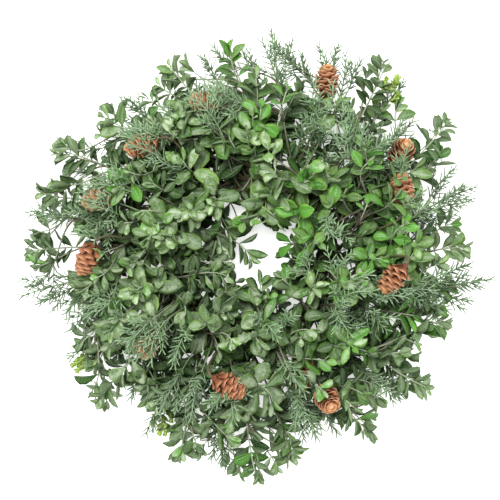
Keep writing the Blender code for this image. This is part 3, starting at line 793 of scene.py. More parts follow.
def wire_finish(colours):
    """Dark green enamel, scuffed back to steel in spots."""
    finish = Finish("binding_wire")
    scuffs = finish.noise(330.0, 5.0).rising(0.66, 0.78)
    enamel = finish.mix(finish.noise(90.0), colours.wire_green, colours.old_leaf_and_painted_shade)
    finish.set(
        Base_Color=finish.mix(scuffs, enamel, colours.wire_bare),
        Roughness=0.36 + scuffs * 0.2,
        Metallic=scuffs * 0.8,
    )
    finish.bump(scuffs, -0.3, 0.0001)
    return finish.material


def floor_finish(colours):
    """A matt white sweep with a faint tooth."""
    finish = Finish("studio_floor")
    tooth = finish.noise(55.0)
    darker = [channel * 0.985 for channel in colours.floor]
    finish.set(Base_Color=finish.mix(tooth, colours.floor, darker), Roughness=0.9)
    # The floor gives off some light of its own, which keeps it white.
    glow = [channel * FLOOR_GLOW for channel in colours.floor]
    finish.shader.inputs["Emission Color"].default_value = (*glow, 1.0)
    finish.shader.inputs["Emission Strength"].default_value = 1.0
    return finish.material


FINISHES = {}


def finishes():
    """Every finish, made once and shared by the pieces."""
    if not FINISHES:
        colours = bpy.context.scene.wreath_colours
        FINISHES.update(
            boxwood_leaf=leaf_finish(colours),
            juniper_needle=needle_finish(colours),
            boxwood_twig=twig_finish("boxwood_twig", colours.twig_green, colours.twig_brown, 240.0),
            juniper_twig=twig_finish("juniper_twig", colours.needle_blue, colours.twig_brown, 300.0),
            young_bud=bud_finish(colours),
            cone_scale=scale_finish(colours),
            cone_stalk=twig_finish("cone_stalk", colours.bark_light, colours.old_leaf_and_painted_shade, 260.0),
            vine_bark=bark_finish(colours),
            binding_wire=wire_finish(colours),
        )
    return FINISHES


# --- Sprigs --------------------------------------------------------------

LEAF, TWIG, NEEDLE, JUNIPER_TWIG, BUD = range(5)
SPRIG_FINISHES = ("boxwood_leaf", "boxwood_twig", "juniper_needle", "juniper_twig", "young_bud")


def stem_path(row, count=26):
    """A main stem: tucked along the ring under the wire, then one sweep to its tip."""
    leaves, section, tip_angle, tip_distance, tip_height = row
    tip = at_polar(tip_angle, tip_distance, tip_height)
    tucked = [by_the_ring(leaves - TUCKED * back, section, STEM_REACH) for back in (1, 0.5)]
    start = by_the_ring(leaves, section, STEM_REACH)
    away = unit(start - by_the_ring(leaves, section, 0))
    leave = unit(outward(leaves + 90) * 0.75 + away * 0.66)
    length = np.linalg.norm(tip - start)
    first = start + leave * length * 0.34
    second = start + (tip - start) * 0.66 + UP * length * 0.05
    return np.concatenate((np.array(tucked), bezier(start, first, second, tip, count)))


def growth_traits(chance, mood, freshness_and_light, step):
    """Tone, darkening and bloom of one leaf: older and darker the further it is from its shoot's tip, and
    darker as painted shade where its shoot sits low.
    """
    tone, bloom = mood
    age_and_shade = chance.normal(0.42 - 0.5 * freshness_and_light + 0.13 * step, 0.16)
    tone = 0.0 if chance.random() < 0.07 else tone + chance.normal(0, 0.14)
    return np.clip((tone, age_and_shade, bloom + chance.normal(0, 0.16)), 0, 1)


def dress_with_leaves(bundle, path, chance, pairs, size, sizes, spread, freshness_and_light, skip=None):
    """Crossed pairs of leaves back from a shoot's tip, and two small ones at the tip."""
    spacing = sizes.leaf_spacing * size * chance.uniform(0.85, 1.15)
    steps = np.arange(pairs + 1)
    back = 1.5 * MM + spacing * steps * (0.72 + 0.28 * np.minimum(steps / 3, 1))
    total, (hubs, ahead, side, normal) = along_stem(path, back)
    turn = chance.uniform(0, 180)
    across, high, _ = path[-1] - MIDDLE
    greyer = math.cos(math.atan2(high, across) - math.radians(GREY_SIDE))
    mood = chance.normal(0.52 + 0.27 * greyer, 0.27), chance.normal(0.56 + 0.30 * greyer, 0.32)
    freshness_and_light += chance.normal(0, 0.22)
    for step in range(pairs + 1):
        if back[step] > total * 0.97:
            break
        young = step == 0
        angle = math.radians((20 if young else min(34 + 11 * step, 68)) * spread)
        grown = LEAF_GROWTH[min(step, len(LEAF_GROWTH) - 1)]
        for half in (0, 180):
            if not young and chance.random() < 0.05:
                continue
            way = turned(side[step], normal[step], turn + 90 * step + half + chance.normal(0, 9))
            # Leaves above and below a level shoot swing out to its sides.
            level = 1 - abs(ahead[step][2])
            way = unit(way * np.array((1, 1, 1 - 0.65 * level)))
            lean = angle + math.radians(chance.normal(0, 8))
            point = ahead[step] * math.cos(lean) + way * math.sin(lean)
            point = unit(point + chance.normal(0, 0.06, 3))
            facing = ahead[step] - point * float(ahead[step] @ point)
            facing = unit(facing) + UP * (0.3 + 0.5 * level) + chance.normal(0, 0.46, 3)
            length = sizes.leaf_length * size * grown * chance.uniform(0.78, 1.14)
            width = sizes.leaf_width * size * grown * chance.uniform(0.84, 1.16)
            root = hubs[step] + way * 0.7 * MM
            if skip is not None and skip(root, root + point * length):
                continue
            bundle.blade(
                LEAF, root=root, ahead=point, facing=facing, length=length, width=width,
                bend=chance.normal(0.2, 0.42), cup=chance.uniform(0.1, 0.75),
                twist=chance.normal(0, 0.22), fullest=chance.uniform(1.1, 1.55),
                blunt=chance.uniform(0.62, 0.92), foot=0.10, wave=chance.uniform(0.0, 0.10),
                thick=LEAF_THICKNESS, groove=0.10, growth=growth_traits(chance, mood, freshness_and_light, step),
            )


def dress_with_needles(bundle, path, chance, reach, sizes, freshness_and_light, size=1.0):
    """A feathery juniper spray: short twigs off both sides, whorled with needles."""
    spacing = sizes.needle_spacing * TWIG_EVERY * size
    total, (hubs, ways, sides, normals) = along_stem(path, np.arange(0, reach, spacing))
    dress_twig(bundle, path, chance, min(reach, total * 0.9), sizes, freshness_and_light, 1.0)
    flat = chance.uniform(0, 180)
    for step in range(2, len(hubs)):
        if step * spacing > total * 0.9:
            break
        out_way = turned(sides[step], normals[step], flat + 180 * (step % 2) + chance.normal(0, 38))
        way = unit(turned(ways[step], out_way, chance.normal(40, 7)) + UP * 0.12)
        long = sizes.twig_length * size * min(0.4 + 0.16 * step, 1.0) * chance.uniform(0.75, 1.15)
        bow = unit(ways[step]) * long * 0.22
        end = hubs[step] + way * long + bow
        bent = end - way * long * 0.3 - bow * 0.4
        twig = bezier(hubs[step], hubs[step] + way * long * 0.35, bent, end, 7)
        bundle.stem(twig, np.linspace(0.6, 0.35, 7) * MM, 4, (0.5, 0.4, 0.5), JUNIPER_TWIG)
        dress_twig(bundle, twig, chance, long * 0.92, sizes, freshness_and_light, 0.9)


def dress_twig(bundle, path, chance, reach, sizes, freshness_and_light, size):
    """Needles in twos and threes back from a twig's tip, more upright near it."""
    distances = np.arange(0.0, reach, sizes.needle_spacing)
    _, (hubs, ways, _, _) = along_stem(path, distances)
    tone = np.clip(chance.normal(0.45, 0.25), 0, 1)
    for step, distance in enumerate(distances):
        near_tip = max(0.0, 1 - distance / (18 * MM))
        level = across_from(ways[step], np.cross(ways[step], UP))
        above = np.cross(level, ways[step])
        for arm in (0, 180, 90)[: 2 + step % 2]:
            out_way = turned(level, above, arm + chance.normal(0, 24))
            way = turned(ways[step], out_way, chance.normal(48 - 22 * near_tip, 6))
            length = sizes.needle_length * size * (1 - 0.25 * near_tip) * chance.uniform(0.75, 1.15)
            # Needles darken away from the twig's tip, and as painted shade on shoots sunk low in the wreath.
            age_and_shade = np.clip(0.8 - 0.65 * freshness_and_light - 0.15 * near_tip + chance.normal(0, 0.14), 0, 1)
            shown = np.clip(tone + chance.normal(0, 0.15), 0, 1)
            traits = (shown, age_and_shade, np.clip(0.35 + 0.5 * near_tip, 0, 1))
            bundle.needle(hubs[step], way, ways[step] + UP * 0.3, length, sizes.needle_radius, traits)


def dress_with_buds(bundle, path, chance, whorls, sizes):
    """A shoot ending in a cluster of small round yellow-green leaves."""
    back = 1 * MM + BUD_SPACING * np.arange(whorls)
    _, (hubs, ways, sides, normals) = along_stem(path, back)
    for step in range(whorls):
        for arm in range(4):
            out_way = turned(sides[step], normals[step], 45 * step + 90 * arm + chance.normal(0, 12))
            way = turned(ways[step], out_way, min(22 + 12 * step, 58) + chance.normal(0, 6))
            length = sizes.bud_length * chance.uniform(0.8, 1.2) * (0.85 + 0.08 * step)
            bundle.blade(
                BUD, root=hubs[step], ahead=way, facing=ways[step] + UP * 0.3, length=length,
                width=length * 0.68, bend=-0.3, cup=chance.uniform(0.3, 0.6), twist=0.0,
                fullest=1.2, blunt=0.6, foot=0.2, wave=0.0, thick=BUD_THICKNESS, groove=0.12,
                growth=(chance.random(), 0.1 + 0.08 * step, 0.2),
            )


def bud_twigs(bundle, path, chance, sizes):
    """Four short twigs back from a budded sprig's tip, each ending in young leaves."""
    for back, turn in ((13, 60), (20, 200), (30, 330), (38, 120)):
        index, _ = stations(path, [back * MM])
        hub = sample(path, index)[0]
        way = unit(path[-1] - path[-4])
        out_way = across_from(way, outward(turn) + UP * 0.3)
        end = hub + way * 11 * MM + out_way * 10 * MM
        twig = bezier(hub, hub + out_way * 5 * MM, end - way * 5 * MM, end, 6)
        bundle.stem(twig, np.linspace(0.6, 0.4, 6) * MM, 5, (0.5, 0.2, 0.5), TWIG)
        dress_with_buds(bundle, twig, chance, 3, sizes)


def front_height(distance_mm):
    """How high the face of the wreath stands, in mm, by distance from the middle."""
    return np.interp(distance_mm, (30, 55, 90, 130, 170, 205, 235), (58, 84, 110, 118, 105, 80, 56))


def over_the_opening(*points):
    """Whether any of the points is over the clear opening, a gap or high over a hollow."""
    for point in points:
        away = (point - MIDDLE) / MM
        across, along = (
            (away[axis] - OPENING_CENTRE[axis]) / OPENING_REACH[axis] for axis in (0, 1)
        )
        if across**2 + along**2 < 1 or within(away, WINDOWS, 1):
            return True
        if away[2] > HOLLOW_FLOOR and within(away, HOLLOWS, 0.8):
            return True
    return False


def within(spot, patches, share):
    """Whether a place, in mm from the middle, is within that share of a patch's reach."""
    return any(
        np.hypot(*(spot - outward(turn) * far)[:2]) < reach * share for turn, far, reach in patches
    )


def side_shoot(tip, ending, stems, chance):
    """A shoot from the nearest main stem or from the ring to a tip, ending the given way."""
    flat = (tip - MIDDLE) / MM
    angle = math.degrees(math.atan2(flat[1], flat[0]))
    distance = math.hypot(flat[0], flat[1])
    wanted = at_polar(angle - 12, max(distance * 0.78, 98), max(flat[2] * 0.55, 12))
    best = None
    for name, path in stems.items():
        gaps = np.linalg.norm(path[4:-4] - wanted, axis=1)
        if best is None or gaps.min() < best[0]:
            best = (gaps.min(), name, 4 + int(gaps.argmin()))
    gap, name, index = best
    path = stems[name]
    start, leave = path[index], unit(path[index + 1] - path[index - 1])
    if gap > STEM_SEARCH:
        section = 90 if distance > 60 else 140
        start = by_the_ring(angle - 16, section + chance.normal(0, 25), STEM_REACH - 1.5 * MM)
        leave = unit(outward(angle + 70) * 0.6 + UP * 0.6)
    length = np.linalg.norm(tip - start)
    return name, bezier(start, start + leave * length * 0.32, tip - ending * length * 0.42, tip, 14)


def body_tips(chance, spacing, sink, near, far):
    """Tips spread evenly over the face of the wreath, sunk by a depth in mm."""
    rows = int((far - near) / (spacing * 0.87)) + 1
    for row in range(rows):
        distance = near + (far - near) * row / (rows - 1)
        count = max(int(2 * math.pi * distance / spacing), 3)
        shift = chance.uniform(0, 360)
        for step in range(count):
            angle = shift + 360 * step / count + chance.normal(0, 0.2) * 360 / count
            away = distance + chance.normal(0, 0.16) * spacing
            height = front_height(away) - sink + chance.normal(0, 7) - 26 * (chance.random() < 0.3)
            if chance.random() < 0.1:
                continue
            yield angle % 360, away, height


def ending_way(angle, distance_mm, chance):
    """The way a shoot points at its tip: in near the middle, up on the face, out at the rim."""
    out = np.interp(distance_mm, (40, 75, 120, 190, 240), (-0.5, 0.3, 0.62, 0.95, 1.0))
    rise = np.interp(distance_mm, (40, 75, 120, 190, 240), (0.45, 0.6, 0.45, 0.26, 0.12))
    way = outward(angle) * out + outward(angle + 90) * 0.35 + UP * rise
    return unit(way + chance.normal(0, 0.3, 3))


def near_a_cone(tip, hubs):
    """Whether a shoot's tip would hide one of the cones that show."""
    return min(np.linalg.norm(tip[:2] - hub[:2]) for hub in hubs) < CONE_CLEARANCE


def plan_shoots(stems, cone_hubs):
    """Every side shoot, as (name of its sprig, path, kind, pairs, size, freshness, spread)."""
    chance = np.random.default_rng(SHOOT_SEED)
    families = {
        kind: {name: path for name, path in stems.items() if name.startswith(kind)}
        for kind in ("boxwood", "juniper")
    }
    shoots = []

    def grown(kind, tip, ending):
        return side_shoot(tip, ending, families[kind], chance)

    for angle, distance, lean, pairs, size in RIM:
        kind = "boxwood" if pairs else "juniper"
        tip = at_polar(angle, distance - 2, chance.uniform(26, 58))
        ending = unit(outward(angle + lean) + UP * chance.normal(0.05, 0.12))
        name, path = grown(kind, tip, ending)
        fresh = chance.uniform(0.1, 0.6) - (0.2 if kind == "juniper" else 0)
        shoots.append((name, path, kind, pairs, size * 0.92, fresh, 0.95))
    for angle, distance in VEILS:
        tip = at_polar(angle, distance, front_height(distance) + VEIL_RISE)
        ending = unit(outward(angle + chance.normal(20, 20)) + UP * 0.15)
        shoots.append((*grown("juniper", tip, ending), "juniper", 0, 0.8, 0.8, 1.0))
    for angle, distance, lean, size in SPRAYS:
        tip = at_polar(angle, distance, front_height(distance) + SPRAY_RISE)
        ending = unit(outward(angle + lean) + UP * chance.normal(0.15, 0.1))
        shoots.append((*grown("juniper", tip, ending), "juniper", 0, size, 0.95, 1.0))
    for angle, distance, size in ROSETTES:
        tip = at_polar(angle, distance, front_height(distance) + ROSETTE_RISE)
        ending = unit(UP + outward(angle) * 0.25 + chance.normal(0, 0.12, 3))
        shoots.append((*grown("boxwood", tip, ending), "boxwood", 3, size, 0.95, 1.3))
    for angle, distance, height, heading, pairs, size in MIDDLE_SHOOTS:
        ending = unit(outward(heading) + UP * 0.15)
        name, path = grown("boxwood", at_polar(angle, distance, height), ending)
        shoots.append((name, path, "fringe", pairs, size, chance.uniform(0.3, 0.8), 1.0))
    for angle, distance, reach in HOLLOWS:
        # Leaves low in each hollow, painted near-black as shade, so that the floor doesn't show through.
        for turn in (30, 150, 270):
            tip = at_polar(angle, distance, chance.uniform(20, 36)) + outward(turn) * reach * 0.5 * MM
            ending = unit(outward(turn) + UP * 0.2)
            shoots.append((*grown("boxwood", tip, ending), "boxwood", 4, 0.95, -0.6, 1.2))
    for spacing, sink, near, far, pairs in BODY_LAYERS:
        for angle, distance, height in body_tips(chance, spacing, sink, near, far):
            spot = outward(angle) * distance
            on_juniper = within(spot, JUNIPER_PATCHES, 1)
            if on_juniper and sink == 0:
                height += JUNIPER_RISE
            tip = at_polar(angle, distance, max(height, 9))
            if over_the_opening(tip) or (sink < 30 and near_a_cone(tip, cone_hubs)):
                continue
            if sink < 60 and within(spot, HOLLOWS, 1):
                continue
            kind = "juniper" if on_juniper and sink < 50 else "boxwood"
            ending = ending_way(angle, distance, chance)
            name, path = grown(kind, tip, ending)
            # Tips sunk below the face get less freshness, so their leaves and needles are painted darker as
            # shade.
            fresh = np.clip(0.72 - (front_height(distance) - height) / 52 + chance.normal(0, 0.15), 0, 1)
            shoots.append((name, path, kind, pairs, chance.uniform(0.68, 1.14), fresh, 1.1))
    return shoots


# --- Cones ---------------------------------------------------------------


def cone_place(name, row):
    """The middle of a cone and the way its tip points, as its solid stands."""
    angle, distance, height, heading, dip, _, _ = row
    pitch = math.radians(dip)
    axis = outward(heading) * math.cos(pitch) - UP * math.sin(pitch)
    corners = np.array([vertex.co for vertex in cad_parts[name].data.vertices])
    length = bpy.context.scene.wreath_sizes.cone_length
    best = None
    for lift in range(-24, 25, 3):
        hub = at_polar(angle, distance, height + lift)
        gap = np.linalg.norm(corners - (hub + axis * length / 2), axis=1).min()
        if best is None or gap < best[0]:
            best = (gap, hub)
    return best[1], axis


def cone_profile(share):
    """A cone's radius along it, as a share of its greatest."""
    return np.sin(np.pi * (0.12 + 0.74 * share)) ** 0.75


def dress_cone(bundle, hub, axis, chance, shade, sizes):
    """Overlapping rounded scales wound round a core at the golden angle."""
    length, radius = sizes.cone_length, sizes.cone_radius
    base = hub - axis * length / 2
    shares = np.linspace(0, 1, 13)
    core = base + axis * (length * 0.94 * shares)[:, None]
    bundle.stem(core, radius * 0.5 * cone_profile(shares), 10, (0.5, 0.2, 0.5), 0)
    side = across_from(axis, UP)
    other = np.cross(axis, side)
    start = chance.uniform(0, 360)
    for index in range(CONE_SCALES):
        share = 0.03 + 0.9 * (index / (CONE_SCALES - 1)) ** 0.95
        out_way = turned(side, other, start + GOLDEN_ANGLE * index)
        full = float(cone_profile(np.clip(share + 0.08, 0, 1)))
        open_way = math.radians(np.interp(share, (0, 0.5, 1), (52, 38, 10)) + chance.normal(0, 4))
        way = axis * math.cos(open_way) + out_way * math.sin(open_way)
        root = base + axis * length * share * 0.86 + out_way * radius * 0.34 * full
        reach = radius * (1.16 if share < 0.85 else 0.95) * (0.35 + 0.65 * full)
        wide = radius * (0.66 + 0.66 * full) * (1.0 if share < 0.8 else 0.72)
        facing = axis * math.sin(open_way) * -1 + out_way * math.cos(open_way)
        bundle.blade(
            0, root=root, ahead=way, facing=facing,
            length=reach * chance.uniform(0.94, 1.06), width=wide * chance.uniform(0.92, 1.05),
            bend=chance.normal(-0.25, 0.06), cup=-0.5, twist=chance.normal(0, 0.05),
            fullest=2.0, blunt=0.5, foot=0.7, wave=0.0, thick=SCALE_THICKNESS, groove=-0.05,
            growth=(chance.random(), share, shade),
        )


def stalk_path(hub, axis, row, sizes):
    """A stalk from beside the ring to just inside the foot of its cone."""
    _, _, _, _, _, leaves, section = row
    base = hub - axis * sizes.cone_length / 2
    start = by_the_ring(leaves, section, STEM_REACH)
    length = np.linalg.norm(base - start)
    leave = unit(outward(leaves + 90) * 0.7 + UP * 0.5)
    return bezier(start, start + leave * length * 0.35, base - axis * length * 0.3, base + axis * 2 * MM, 16)


# --- Settings ------------------------------------------------------------


def length_setting(name, description, default):
    return FloatProperty(
        name=name, description=description, default=default, min=0.0, subtype="DISTANCE", unit="LENGTH"
    )


def colour_setting(name, description, default):
    return FloatVectorProperty(
        name=name, description=description, default=default, min=0.0, max=1.0, size=3, subtype="COLOR"
    )


class WreathSizes(bpy.types.PropertyGroup):
    """Sizes of the wreath's pieces."""

    leaf_length: length_setting("Leaf length", "Length of a full-grown boxwood leaf", 32 * MM)
    leaf_width: length_setting("Leaf width", "Width of a full-grown boxwood leaf", 17.5 * MM)
    leaf_spacing: length_setting("Leaf spacing", "Distance between pairs of leaves", 10.5 * MM)
    needle_length: length_setting("Needle length", "Length of a juniper needle", 15.5 * MM)
    needle_radius: length_setting("Needle radius", "Half the width of a juniper needle", 1.05 * MM)
    needle_spacing: length_setting("Needle spacing", "Distance between whorls of needles", 7.2 * MM)
    twig_length: length_setting("Twig length", "Length of a juniper side twig", 38 * MM)
    stem_radius: length_setting("Stem radius", "Radius of a sprig's stem at the ring", 1.5 * MM)
    bud_length: length_setting("Bud leaf length", "Length of a small tip leaf", 8.5 * MM)
    cone_length: length_setting("Cone length", "Length of a cone without its stalk", 44 * MM)
    cone_radius: length_setting("Cone radius", "Greatest radius of a cone", 13 * MM)
    stalk_radius: length_setting("Stalk radius", "Radius of a cone's stalk", 1.3 * MM)
    cane_radius: length_setting("Cane radius", "Radius of a vine cane", 4.6 * MM)
    wire_radius: length_setting("Wire radius", "Radius of the binding wire", 0.7 * MM)


class WreathColours(bpy.types.PropertyGroup):
    """Colours of the wreath and its floor."""

    leaf_young: colour_setting("Young leaf", "Boxwood leaf near a tip", (0.165, 0.330, 0.065))
    # The old leaf colour also paints shade on leaves low in the wreath and in its hollows.
    old_leaf_and_painted_shade: colour_setting("Old leaf", "Shaded or old boxwood leaf", (0.020, 0.056, 0.011))
    leaf_sage: colour_setting("Sage leaf", "Greyer boxwood leaf", (0.190, 0.265, 0.150))
    leaf_bloom: colour_setting("Leaf bloom", "Frosted middle of a leaf", (0.520, 0.600, 0.440))
    leaf_vivid: colour_setting("Vivid leaf", "Brightest boxwood leaf", (0.125, 0.350, 0.050))
    leaf_margin: colour_setting("Leaf margin", "Yellow-green edge of a leaf", (0.280, 0.440, 0.095))
    leaf_rib: colour_setting("Leaf rib", "Midrib and veins", (0.520, 0.620, 0.410))
    leaf_under: colour_setting("Leaf underside", "Pale underside of a leaf", (0.260, 0.350, 0.190))
    needle_sage: colour_setting("Needle", "Juniper needle", (0.175, 0.295, 0.135))
    needle_blue: colour_setting("Blue needle", "Blue-grey juniper needle", (0.235, 0.330, 0.205))
    # The old needle colour also paints shade on needles low in the wreath.
    old_needle_and_painted_shade: colour_setting("Old needle", "Shaded juniper needle", (0.030, 0.075, 0.020))
    needle_tip: colour_setting("Needle tip", "Light end of a needle", (0.450, 0.550, 0.385))
    twig_green: colour_setting("Green twig", "Young boxwood twig", (0.350, 0.405, 0.290))
    twig_brown: colour_setting("Brown twig", "Older twig by the ring", (0.155, 0.125, 0.085))
    bud_light: colour_setting("Light bud", "Young tip leaf", (0.470, 0.620, 0.070))
    bud_deep: colour_setting("Deep bud", "Deeper tip leaf", (0.220, 0.400, 0.040))
    cone_clay: colour_setting("Cone scale", "Open face of a cone scale", (0.480, 0.235, 0.115))
    # This colour is painted shade where cone scales overlap.
    cone_overlap_shade: colour_setting("Cone shade", "Where cone scales overlap", (0.110, 0.035, 0.013))
    # The streak colour also paints shade on the cones that sit in shade.
    cone_streak_and_shade: colour_setting("Cone streak", "Streaks on a cone scale", (0.270, 0.095, 0.045))
    cone_rim: colour_setting("Cone rim", "Thin rim of a cone scale", (0.780, 0.480, 0.320))
    cone_tip: colour_setting("Cone tip", "Scales at a cone's tip", (0.820, 0.470, 0.170))
    bark_dark: colour_setting("Dark bark", "Fibres under the bark", (0.050, 0.032, 0.020))
    bark_light: colour_setting("Light bark", "Loose strips of bark", (0.150, 0.110, 0.070))
    bark_grey: colour_setting("Grey bark", "Weathered bark", (0.270, 0.235, 0.190))
    wire_green: colour_setting("Wire enamel", "Enamel of the binding wire", (0.030, 0.075, 0.030))
    wire_bare: colour_setting("Bare wire", "Steel where enamel has worn", (0.420, 0.410, 0.390))
    floor: colour_setting("Floor", "The floor it lies on", (0.900, 0.900, 0.895))


# --- Operators -----------------------------------------------------------


def settle(piece, node, slot):
    """Ties a finished piece to the frame in place of its solid."""
    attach(piece, "root")
    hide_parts(node)


def stems_by_name():
    """The main stem of every sprig, by the sprig's name."""
    rows = [("boxwood", BOXWOOD), ("juniper", JUNIPER), ("budded", BUDDED)]
    return {
        f"{kind}_sprig_{number:02d}": stem_path(row)
        for kind, table in rows
        for number, row in enumerate(table, 1)
    }


def make_sprigs(kind):
    """Builds every sprig of one kind, each with the side shoots that grow from it."""
    sizes = bpy.context.scene.wreath_sizes
    stems = stems_by_name()
    hubs = [cone_place(f"cone_{n:02d}", CONES[n - 1])[0] for n in OPEN_CONES]
    shoots = plan_shoots(stems, hubs)
    finish_list = [finishes()[name] for name in SPRIG_FINISHES]
    for number, (name, path) in enumerate(stems.items()):
        if not name.startswith(kind):
            continue
        chance = np.random.default_rng(SPRIG_SEED + number)
        bundle = Bundle()
        wood = JUNIPER_TWIG if kind == "juniper" else TWIG
        bundle.stem(path, np.linspace(1.0, 0.5, len(path)) * sizes.stem_radius, 7, (0.5, 0.4, 0.5), wood)
        inner = np.linalg.norm((path[-1] - MIDDLE)[:2]) < INNER_REACH
        if kind == "juniper":
            dress_with_needles(bundle, path, chance, STEM_DRESSED, sizes, 0.7 if inner else 0.3)
        elif kind == "budded":
            dress_with_buds(bundle, path, chance, 5, sizes)
            bud_twigs(bundle, path, chance, sizes)
            dress_with_leaves(bundle, path[:-5], chance, 5, 0.8, sizes, 1.0, 0.3, over_the_opening)
        else:
            pairs, size, spread, fresh = (5, 1.05, 1.2, 0.85) if inner else (6, 0.82, 0.95, 0.5)
            dress_with_leaves(bundle, path, chance, pairs, size, sizes, spread, fresh, over_the_opening)
        for owner, shoot, shoot_kind, pairs, size, fresh, spread in shoots:
            if owner != name:
                continue
            radii = np.linspace(1.3, 0.7, len(shoot)) * MM
            if shoot_kind == "juniper":
                bundle.stem(shoot, radii, 5, (0.5, 0.4, 0.5), JUNIPER_TWIG)
                dress_with_needles(bundle, shoot, chance, SHOOT_DRESSED * size, sizes, fresh, size)
            else:
                bundle.stem(shoot, radii, 5, (0.5, 0.4, 0.5), TWIG)
                skip = None if shoot_kind == "fringe" else over_the_opening
                dress_with_leaves(bundle, shoot, chance, pairs, size, sizes, spread, fresh, skip)
        slot = {"boxwood": "boxwood_leaf", "juniper": "juniper_needle", "budded": "young_bud"}[kind]
        settle(bundle.make(f"{name}_foliage", finish_list), name, slot)


class WREATH_OT_canes(bpy.types.Operator):
    """Make the four vine canes, knotted and barked, that the sprigs are bound to"""

    bl_idname = "wreath.canes"
    bl_label = "Make vine canes"

    def execute(self, context):
        sizes = context.scene.wreath_sizes
        for cane in range(CANE_COUNT):
            chance = np.random.default_rng(CANE_SEED + cane)
            angles = np.linspace(0, CANE_SPAN, CANE_POINTS)
            path = np.array([by_the_ring(a + 90 * cane, CANE_TWISTS * a, CANE_OFFSET) for a in angles])
            radii = np.ones(len(path))
            knots = np.arange(8, 340, 27)
            for knot in knots + chance.uniform(-6, 6, len(knots)):
                radii += 0.05 * np.exp(-(((angles - knot) / 1.8) ** 2))
            radii += 0.02 * np.sin(angles * 0.9 + chance.uniform(0, 6)) - 0.04
            bundle = Bundle()
            bundle.stem(path, radii * sizes.cane_radius, 14, (chance.random(), 0.5, 0.5), 0)
            name = f"vine_cane_{cane + 1}"
            settle(bundle.make(f"{name}_bark", [finishes()["vine_bark"]]), name, "vine_bark")
        return {"FINISHED"}


class WREATH_OT_wire(bpy.types.Operator):
    """Wind the binding wire round the canes and the stems"""

    bl_idname = "wreath.wire"
    bl_label = "Wind binding wire"

    def execute(self, context):
        turns = np.linspace(0, WIRE_TURNS - 0.5, WIRE_POINTS)
        path = np.array([by_the_ring(360 * turn / WIRE_TURNS, 360 * turn, WIRE_REACH) for turn in turns])
        bundle = Bundle()
        bundle.stem(path, np.full(len(path), context.scene.wreath_sizes.wire_radius), 8, (0.5, 0.5, 0.5), 0)
        settle(bundle.make("binding_wire_coat", [finishes()["binding_wire"]]), "binding_wire", "binding_wire")
        return {"FINISHED"}


class WREATH_OT_cones(bpy.types.Operator):
    """Make the dozen small cones on their stalks"""

    bl_idname = "wreath.cones"
    bl_label = "Make cones"

    def execute(self, context):
        sizes = context.scene.wreath_sizes
        pair = [finishes()["cone_scale"], finishes()["cone_stalk"]]
        for number, row in enumerate(CONES, 1):
            name = f"cone_{number:02d}"
            hub, axis = cone_place(name, row)
            bundle = Bundle()
            chance = np.random.default_rng(CONE_SEED + number)
            dress_cone(bundle, hub, axis, chance, DARKER_CONES.get(number, CONE_SHADE), sizes)
            path = stalk_path(hub, axis, row, sizes)
            bundle.stem(path, np.full(len(path), sizes.stalk_radius), 7, (0.5, 0.5, 0.5), 1)
            settle(bundle.make(f"{name}_scales", pair), name, "cone_scales")
        return {"FINISHED"}


class GrowSprigs:
    """An operator that grows the sprigs of its kind."""

    def execute(self, context):
        make_sprigs(self.kind)
        return {"FINISHED"}


class WREATH_OT_boxwood(GrowSprigs, bpy.types.Operator):
    """Grow the boxwood sprigs with their side shoots"""

    bl_idname = "wreath.boxwood"
    bl_label = "Grow boxwood sprigs"
    kind = "boxwood"


class WREATH_OT_juniper(GrowSprigs, bpy.types.Operator):
    """Grow the feathery juniper sprigs"""

    bl_idname = "wreath.juniper"
    bl_label = "Grow juniper sprigs"
    kind = "juniper"


class WREATH_OT_budded(GrowSprigs, bpy.types.Operator):
    """Grow the sprigs that end in young yellow-green leaves"""

    bl_idname = "wreath.budded"
    bl_label = "Grow budded sprigs"
    kind = "budded"


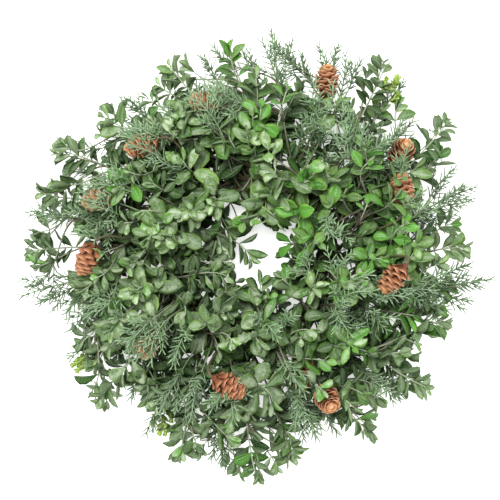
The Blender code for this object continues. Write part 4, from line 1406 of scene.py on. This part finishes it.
class WREATH_OT_stage(bpy.types.Operator):
    """Lay the pale floor and set the soft lights and the camera above the wreath"""

    bl_idname = "wreath.stage"
    bl_label = "Set the stage"

    def execute(self, context):
        scene = context.scene
        sides = 72
        mesh = bpy.data.meshes.new("studio_floor")
        turns = [2 * math.pi * side / sides for side in range(sides)]
        corners = [
            (reach * math.cos(turn), reach * math.sin(turn), height)
            for reach, height in SWEEP
            for turn in turns
        ]
        faces = [tuple(range(sides))]
        for ring in range(len(SWEEP) - 1):
            near, far = ring * sides, (ring + 1) * sides
            for side in range(sides):
                after = (side + 1) % sides
                faces.append((near + side, far + side, far + after, near + after))
        mesh.from_pydata(corners, [], faces)
        mesh.polygons.foreach_set("use_smooth", [True] * len(faces))
        mesh.materials.append(floor_finish(scene.wreath_colours))
        floor = bpy.data.objects.new("studio_floor", mesh)
        scene.collection.objects.link(floor)
        floor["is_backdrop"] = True

        low, high = CAD_BOX
        middle = (np.array(low) + np.array(high)) / 2
        data = bpy.data.cameras.new("overhead_camera")
        data.lens, data.sensor_width = LENS, SENSOR
        camera = bpy.data.objects.new("overhead_camera", data)
        camera.location = (
            middle[0] + CAMERA_SHIFT[0],
            middle[1] + CAMERA_SHIFT[1],
            FRAME_HEIGHT + FRAME_WIDTH * data.lens / data.sensor_width,
        )
        scene.collection.objects.link(camera)
        scene.camera = camera

        for name, place, size, power in LAMPS:
            lamp = bpy.data.lights.new(name, "AREA")
            lamp.shape, lamp.size, lamp.energy = "SQUARE", size, power
            light = bpy.data.objects.new(name, lamp)
            light.location = place
            light.rotation_euler = aim_at(np.array((0, 0, AIM_HEIGHT)) - np.array(place))
            scene.collection.objects.link(light)
        world = bpy.data.worlds.new("studio_air")
        world.use_nodes = True
        air = world.node_tree.nodes["Background"]
        air.inputs["Color"].default_value = (1, 1, 1, 1)
        air.inputs["Strength"].default_value = AIR_LIGHT
        scene.world = world
        scene.view_settings.view_transform = "Standard"
        scene.view_settings.look = "Medium High Contrast"
        return {"FINISHED"}


def aim_at(way):
    """The turn that points an object's -Z axis the given way."""
    return Vector(way).to_track_quat("-Z", "Y").to_euler()


OPERATORS = (
    WREATH_OT_stage, WREATH_OT_canes, WREATH_OT_wire, WREATH_OT_cones,
    WREATH_OT_boxwood, WREATH_OT_juniper, WREATH_OT_budded,
)


class WREATH_PT_panel(bpy.types.Panel):
    """The wreath's operators, sizes and colours"""

    bl_idname = "WREATH_PT_panel"
    bl_label = "Evergreen wreath"
    bl_space_type = "VIEW_3D"
    bl_region_type = "UI"
    bl_category = "Wreath"

    def draw(self, context):
        for operator in OPERATORS:
            self.layout.operator(operator.bl_idname)
        for group in (context.scene.wreath_sizes, context.scene.wreath_colours):
            for name in group.__annotations__:
                self.layout.prop(group, name)


CLASSES = (WreathSizes, WreathColours, *OPERATORS, WREATH_PT_panel)


def register():
    for cls in CLASSES:
        bpy.utils.register_class(cls)
    bpy.types.Scene.wreath_sizes = PointerProperty(type=WreathSizes)
    bpy.types.Scene.wreath_colours = PointerProperty(type=WreathColours)


def unregister():
    del bpy.types.Scene.wreath_colours
    del bpy.types.Scene.wreath_sizes
    for cls in reversed(CLASSES):
        bpy.utils.unregister_class(cls)


def main():
    register()
    for operator in OPERATORS:
        group, name = operator.bl_idname.split(".")
        getattr(getattr(bpy.ops, group), name)()
    boxes = {"cad": CAD_BOX, "visual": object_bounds()}
    {name: [list(corner) for corner in box] for name, box in boxes.items()}


if __name__ == "__main__":
    main()
